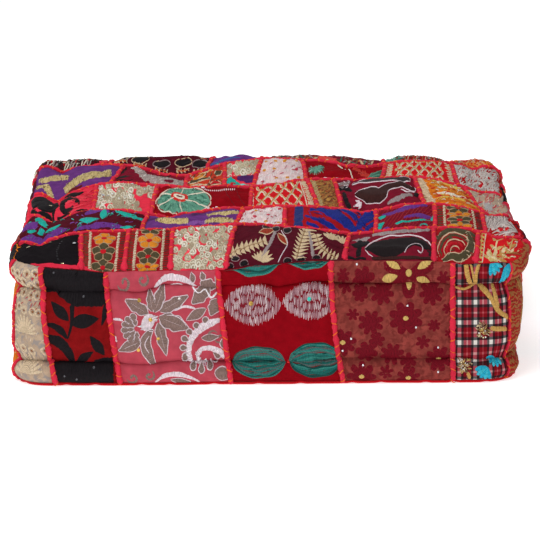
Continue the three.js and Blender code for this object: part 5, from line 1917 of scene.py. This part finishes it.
LACE_CREAM = dye(208, 182, 148)
lay(p, LACE_CREAM, 10, (0.14, 0.01), (0.11, 0.99))
strokes(p, 70, 4, 0.9, (dye(228, 208, 176), dye(160, 126, 96), LACE_CREAM), 0, 20, 37,
        (0.05, 0.2, 0.03, 0.97), 1.5)
CURVES = (dye(214, 132, 44), dye(222, 184, 84), IVORY, dye(206, 104, 34), dye(206, 40, 40))
for number in range(12):
    v = number / 9 - 0.12
    lay(p, CURVES[number * 3 % 5], (1.2, 3.4, 3.0, 1.4), *((u, v + 0.24 * math.sin(2.6 * (u - 0.2) + 0.5))
        for u in np.linspace(0.24, 0.99, 6)), rough=0.25)
strokes(p, 110, 6, 1.0, CURVES, -10, 35, 38, (0.25, 0.97, 0.05, 0.95), 1.8, 0.3)
p = plots["top_3_8"]
lay(p, dye(170, 166, 164), 12, (0.46, 0.16), (0.44, 0.62), high=0.7)
strokes(p, 34, 8, 1.2, (dye(200, 50, 60), dye(204, 76, 84)), 35, 40, 39, high=1.1, bow=0.3)
strokes(p, 60, 6, 0.9, (dye(230, 214, 190), dye(180, 156, 130)), 60, 60, 40, high=0.9)

# Top, fourth row: gold swathes, a stone-grey stem, small marigold leaves, coils over a blue hem, lace, a
# round eye beside stripes, a cream net and grey curls.
p = plots["top_4_1"]
gold_swathes(p, 42, (7, (0.03, 0.57), (0.19, 0.65), (0.39, 0.68)),
             (7, (0.0, 0.37), (0.12, 0.33), (0.23, 0.10)),
             (10, (0.39, 0.27), (0.55, 0.45), (0.73, 0.50), (0.91, 0.58)))
lay(p, dye(108, 26, 36), (2, 5, 2), (0.42, 0.10), (0.52, 0.18), (0.62, 0.20))
p = plots["top_4_2"]
STONE = dye(166, 150, 144)
lay(p, STONE, (7, 12, 13, 13, 9), (0.20, 0.92), (0.33, 0.66), (0.46, 0.45), (0.67, 0.28), (0.97, 0.26),
    rough=0.1)
along_it(p, GREYS[1:], ((0.20, 0.92), (0.33, 0.66), (0.46, 0.45), (0.67, 0.28), (0.97, 0.26)), 11, 3.5, 0.8,
         60, 30, 43, 1.2)
oval(p, *p.at(0.78, 0.24), 14, 5, dye(110, 18, 44), 0, 2.0)
leaves(p, BLACK, (0.05, 0.56, 60, 12, 6), (0.02, 0.28, 8, 22, 4), (0.05, 0.12, 4, 24, 3),
       (0.80, 0.70, -10, 18, 5), (0.52, 0.92, 0, 22, 4))
p = plots["top_4_3"]
for places, width, tone in ((((0.18, 0.60), (0.40, 0.82), (0.66, 0.94)), 7, MARIGOLD),
                            (((0.10, 0.28), (0.36, 0.42), (0.62, 0.46)), 6, OLIVE),
                            (((0.62, 0.16), (0.76, 0.24), (0.90, 0.16)), 5, RED),
                            (((0.74, 0.60), (0.90, 0.76)), 7, OLIVE),
                            (((0.12, 0.06), (0.36, 0.16), (0.56, 0.12)), 3, CREAM)):
    lay(p, tone, (width * 0.5, width, width * 0.5), *places, edge=CREAM, rough=0.15)
strokes(p, 70, 5, 1.0, (OLIVE, MARIGOLD, CREAM, dye(96, 50, 40)), 30, 40, 44, high=1.5)
p = plots["top_4_4"]
coils(p, 45, 12, METAL, 6.4, (0.06, 0.94, 0.54, 0.92), 1.9, shade_under=dye(176, 160, 132))
strokes(p, 50, 6, 1.4, (IVORY, dye(206, 196, 170), dye(232, 224, 204)), 20, 60, 45, (0.04, 0.92, 0.45, 0.97),
        1.1, 0.3)
lay(p, IVORY, 3.4, (0.93, 0.42), (0.94, 0.98), rough=0.3)
lay(p, AQUA, (6, 11, 10, 6), (0.02, 0.20), (0.18, 0.28), (0.36, 0.12), (0.56, 0.08), rough=0.1)
lay(p, AQUA, 4, (0.60, 0.06), (0.98, 0.10))
lay(p, dye(76, 32, 96), (4, 10, 9), (0.36, 0.36), (0.65, 0.34), (0.98, 0.30), high=1.2, rough=0.1)
ring(p, *p.at(0.64, 0.08), 8, 4, 1.8, dye(120, 220, 210), high=1.6)
for u, v in ((0.33, 0.34), (0.27, 0.14)):
    oval(p, *p.at(u, v), 8, 4.6, RED, 0, 1.7)
lace(plots["top_4_5"], 46)
p = plots["top_4_6"]
a, b = p.at(0.15, 0.50)
oval(p, a, b, 18, 12, SEA, high=1.2)
for way in range(0, 360, 18):
    satin(p, turned(a, b, way, [(4, 0), (10.5 if way % 180 < 50 or way % 180 > 130 else 8, 0)]), 1.0,
          (SEA, DEEP_SEA, dye(150, 190, 170))[way // 18 % 3], 1.7, 4, 3)
lay(p, IVORY, 1.5, (0.42, 0.98), (0.54, 0.62), (0.62, 0.04), high=1.2)
lay(p, dye(196, 52, 40), (8, 14, 14, 8), (0.60, 0.86), (0.70, 0.62), (0.76, 0.40), (0.82, 0.16), high=0.8,
    rough=0.04)
for number in range(7):
    lay(p, (SEA, DEEP_SEA)[number % 2], (1.5, 3.6, 1.5), (0.99, 0.74 - 0.10 * number),
        (0.88, 0.42 - 0.05 * number), (0.80, 0.10), high=1.3)
lay(p, PALE, (1, 3, 1), (0.22, 0.12), (0.45, 0.07), (0.62, 0.05), rough=0.3)
p = plots["top_4_7"]
net_field(p, 0.16, 0.84, 5, 2)
leaf_border(p, 0.08)
leaf_border(p, 0.93)
p = plots["top_4_8"]
for number, (u, v) in enumerate(((0.2, 0.7), (0.35, 0.4), (0.62, 0.72), (0.74, 0.44), (0.9, 0.7), (0.5, 0.2),
                                 (0.84, 0.18))):
    curl(p, *p.at(u, v), 10, number * 57, 1 - 2 * (number % 2), 3.4, GREYS[number % 3], 1.4)
strokes(p, 230, 7, 1.5, GREYS[:3], 40, 50, 48, high=1.3, bow=0.3)
oval(p, *p.at(0.58, 0.30), 6, 4, dye(206, 24, 34), 40, 2.0)

# Top, back row: six patches that are seen almost edge on, with zigzags, ringed ovals, leaves and stripes,
# and a line of small flowers along the far edge of them all.
p = plots["top_5_1"]
for number in range(9):
    u = 0.04 + number * 0.085
    lay(p, (IVORY, GREYS[1], BLACK)[number % 3], 1.7, (u, 0.95), (u + 0.05, 0.08), (u + 0.10, 0.95), high=1.3,
        rough=0.3)
    oval(p, *p.at(u + 0.05, 0.55), 4, 3, (BLACK, RED)[number % 2], 90, 1.6)
strokes(p, 60, 4, 0.9, (IVORY, GREYS[1], BLACK, dye(70, 60, 50)), 60, 50, 51, (0.03, 0.8, 0.05, 0.95), 1.3)
lay(p, CORAL_CLOTH, 6, (0.84, 0.3), (0.98, 0.6))
p = plots["top_5_2"]
for number, (u, v) in enumerate(((0.10, 0.6), (0.30, 0.5), (0.52, 0.45), (0.74, 0.5), (0.92, 0.4))):
    oval(p, *p.at(u, v), 22, 8, BLACK, 5, 1.0)
    ring(p, *p.at(u, v), 23, 9, 1.1, (GREY, BEIGE)[number % 2], 5)
    fern(p, ((u - 0.06, v - 0.3), (u + 0.06, v - 0.25)), 4, 2.6, BEIGE, dye(190, 90, 50), step=5)
strokes(p, 50, 5, 0.9, (BLACK, BEIGE, dye(110, 24, 36)), 0, 40, 52, high=1.2)
p = plots["top_5_3"]
lay(p, PURPLE, (3, 6, 5, 2), (0.05, 0.3), (0.3, 0.6), (0.6, 0.7), (0.9, 0.6))
lay(p, dye(70, 90, 150), (1, 2.4, 1), (0.02, 0.2), (0.3, 0.3), (0.6, 0.36), high=1.5)
leaves(p, AQUA, (0.10, 0.16, 6, 12, 3), (0.72, 0.62, -5, 10, 3))
p = plots["top_5_4"]
for number in range(11):
    leaves(p, (dye(150, 60, 50), GREY, BEIGE, DEEP_SEA)[number % 4],
           (0.04 + number * 0.038, 0.15 + 0.3 * (number % 2), 30 - 60 * (number % 2), 8, 2.4))
lay(p, dye(222, 70, 62), (6, 8, 6), (0.46, 0.28), (0.54, 0.34), (0.62, 0.28), high=0.8)
for number in range(9):
    leaves(p, (DEEP_SEA, dye(110, 76, 50), BEIGE)[number % 3],
           (0.64 + number * 0.032, 0.14 + 0.3 * (number % 2), 60 - 100 * (number % 2), 8, 3))
strokes(p, 110, 6, 0.9, (BEIGE, GREY, dye(190, 90, 50), dye(96, 70, 48)), 8, 20, 54, (0.02, 0.9, 0.02, 0.95),
        1.3)
p = plots["top_5_5"]
lay(p, SEA, (4, 8, 8, 5), (0.03, 0.10), (0.10, 0.30), (0.18, 0.34), (0.26, 0.30))
strokes(p, 60, 7, 1.0, (DEEP_SEA, dye(130, 176, 156)), 14, 25, 56, (0.02, 0.26, 0.05, 0.6), 1.6)
for number in range(16):
    u = 0.30 + number * 0.042
    lay(p, (dye(150, 110, 60), CREAM, dye(60, 44, 36))[number % 3], 1.2, (u, 0.04), (u + 0.04, 0.95),
        high=1.2, rough=0.3)
strokes(p, 80, 6, 1.0, (dye(190, 30, 40), dye(120, 80, 60), GREYS[1]), 14, 25, 55, (0.28, 0.98, 0.04, 0.96),
        1.3)
p = plots["top_5_6"]
fern(p, ((0.35, 0.2), (0.6, 0.5), (0.98, 0.8)), 9, 3, dye(226, 156, 60), dye(210, 100, 30), step=4)
strokes(p, 90, 6, 1.1, (MARIGOLD, dye(220, 90, 40), dye(200, 40, 40), CREAM), 10, 30, 56, high=1.1)

for column in range(6):
    p = plots[f"top_5_{column + 1}"]
    count = round(p.width / 20)
    for number in range(count):
        x, y = p.at((number + 0.5) / count, 0.8)
        p.flat = (y, LEAST_SEEN)
        flower(p, x, y, 7, 5, 5.5, (MARIGOLD, BEIGE, AQUA)[(number + column) % 3], CREAM, RED, 0.3,
               30 * number)
        p.flat = None

# Right side, back and left side: like patches from the same old clothes, worked in the same floss, with
# flowers, ladders, ferns, paisleys, ovals and lattices.
p = plots["band_7"]
for v in (0.25, 0.62):
    for u in (0.28, 0.74):
        flower(p, *p.at(u, v), 17, 6, 13, MARIGOLD if u > 0.5 else OLIVE, CREAM, RED, 0.3, 30)
ladder(p, p.at(0.04, 0.90), p.at(0.96, 0.90), 9, CREAM, OLIVE, 6)
ladder(p, p.at(0.04, 0.07), p.at(0.96, 0.07), 9, CREAM, OLIVE, 6)
p = plots["band_8"]
p.over = p.at(0.5, 0.5)[0] + 122
pink_bloom(p)
p = plots["band_9"]
for u in (0.25, 0.75):
    fern(p, [p.at(u, 0.06), p.at(u + 0.06, 0.5), p.at(u, 0.94)], 13, 6, GOLD, CREAM, step=10)
for number in range(14):
    sequin(p, *p.at(0.1 + 0.8 * (number * 0.37 % 1), 0.06 + number * 0.065), 3.6,
           ("gold", "clear")[number % 2])
p = plots["band_10"]
for u, side in ((0.3, 1), (0.7, -1)):
    paisley(p, *p.at(u, 0.30), 48, 90, side, dye(150, 96, 44), CREAM, 0.5)
p = plots["band_11"]
lattice(p, 0.03, 0.97, 0.06, 0.94, 7, 5, 2.4, IVORY)
for u in np.arange(0.1, 0.95, 0.14):
    flower(p, *p.at(u, 0.5), 7, 5, 6, MARIGOLD, None, OLIVE, 0.4)
p = plots["band_12"]
gold_swathes(p, 61, *((20, *(p.at(u, v + 0.12 * math.sin(u * 3.4 + v * 9)) for u in (0.02, 0.3, 0.6, 0.98)))
                      for v in (0.18, 0.5, 0.8)))
p = plots["band_13"]
a = p.at(0.5, 0.5)[0]
hatched_ovals(p, ((a - 32, 92, 56, 42), (a + 32, 94, 56, 42)), dye(140, 34, 48), LILAC, 13)
striped_ovals(p, ((a - 32, 30, 58, 36), (a + 32, 31, 58, 36)), TEALS, 14)
p = plots["band_14"]
for u in (0.27, 0.75):
    sea_leaf(p, u, 0.50, 52, 84, (u, 0.62))
p = plots["band_15"]
coils(p, 65, 110, METAL, 12, width=2.6, shade_under=METAL_IN_SHADE)
p = plots["band_16"]
for u in (0.2, 0.5, 0.8):
    fern(p, [p.at(u, 0.05), p.at(u + 0.04, 0.5), p.at(u - 0.02, 0.92)], 14, 6, BEIGE, GREY, step=9)
p = plots["band_17"]
p.over = p.at(0.04, 0.5)[0] + 262
velvet_leaves(p)
p = plots["band_18"]
draw = random.Random(66)
spots = [(p.at(draw.uniform(0.06, 0.94), 0)[0], draw.uniform(10, 134), draw.uniform(8, 18))
         for _ in range(22)]
sheer_flowers(p, [(x, z, reach, reach > 15) for x, z, reach in spots], WINE, 67)
p = plots["band_19"]
lay(p, BLACK, 30, p.at(-0.02, 0.93), p.at(0.5, 0.93), p.at(1.02, 0.93), high=0.9, rough=0.03)
for u in (0.2, 0.5, 0.8):
    for v in (0.2, 0.5, 0.8):
        flower(p, *p.at(u, v), 11, 8, 6, dye(196, 60, 40), CREAM, OLIVE, 0.35)
p = plots["band_6"]
draw = random.Random(68)
for u in (0.32, 0.70):
    for v in (0.15, 0.42, 0.70):
        paisley(p, *p.at(u, v), 20, 80, draw.choice((-1, 1)), dye(166, 116, 64), dye(196, 150, 90), 0.5, 0.8)

# Turned edge: at the left front corner a strip of coral cotton shows as a narrow fold between the band and
# the top, where the velvet patch was cut short and the seam drawn over it.
wedge = Sewing()
s = np.linspace(-284, -196, 34)
share = np.linspace(0, 1, 34)
inward = 1.0 + 7.0 * np.sin(np.pi * share) ** 0.6 * (0.55 + 0.45 * share)
columns = np.linspace(0, 1, 6)
edge_place = band_spot(s, rim(s) - 1.5)
way = outline(s)[1]
flat = edge_place[:, None, :2] - way[:, None] * (inward[:, None] * columns[None, :])[..., None]
height = top_spot(flat[..., 0] - MIDDLE[0], flat[..., 1] - MIDDLE[1])[..., 2]
height = np.where(columns[None, :] < 0.15, edge_place[:, None, 2], height)
height = height + 1.4 + 1.6 * np.sin(np.pi * columns)[None, :] + 0.5 * np.sin(s / 3.2)[:, None]
net = np.concatenate([flat, height[..., None]], axis=-1)[:, ::-1]
wedge.add(net, np.array(CORAL) * 0.9)
turned_edge = wedge.piece("turned_edge", thread_paint("coral_fold", roughness=0.85, line=0.8, depth=0.3))

# Finished needlework: each patch's floss becomes one piece on it, and all beads and sequins are one piece
# of bright metal and glass.
thread = thread_paint("thread", roughness=0.6, line=0.22, depth=0.6, streak=0.34)
for name, p in plots.items():
    if p.work:
        p.finish()
    if p.threads.nets:
        worked = p.threads.piece(f"{name}_embroidery", thread)
glitter = bpy.data.materials.new("glitter")
glitter.use_nodes = True
bright_shader = glitter.node_tree.nodes["Principled BSDF"]
tone = add_node(glitter.node_tree, "Attribute", attribute_name="thread")
glitter.node_tree.links.new(tone.outputs["Color"], bright_shader.inputs["Base Color"])
bright_shader.inputs["Metallic"].default_value = 0.7
bright_shader.inputs["Roughness"].default_value = 0.25
trims = shiny.piece("beads_and_sequins", glitter)
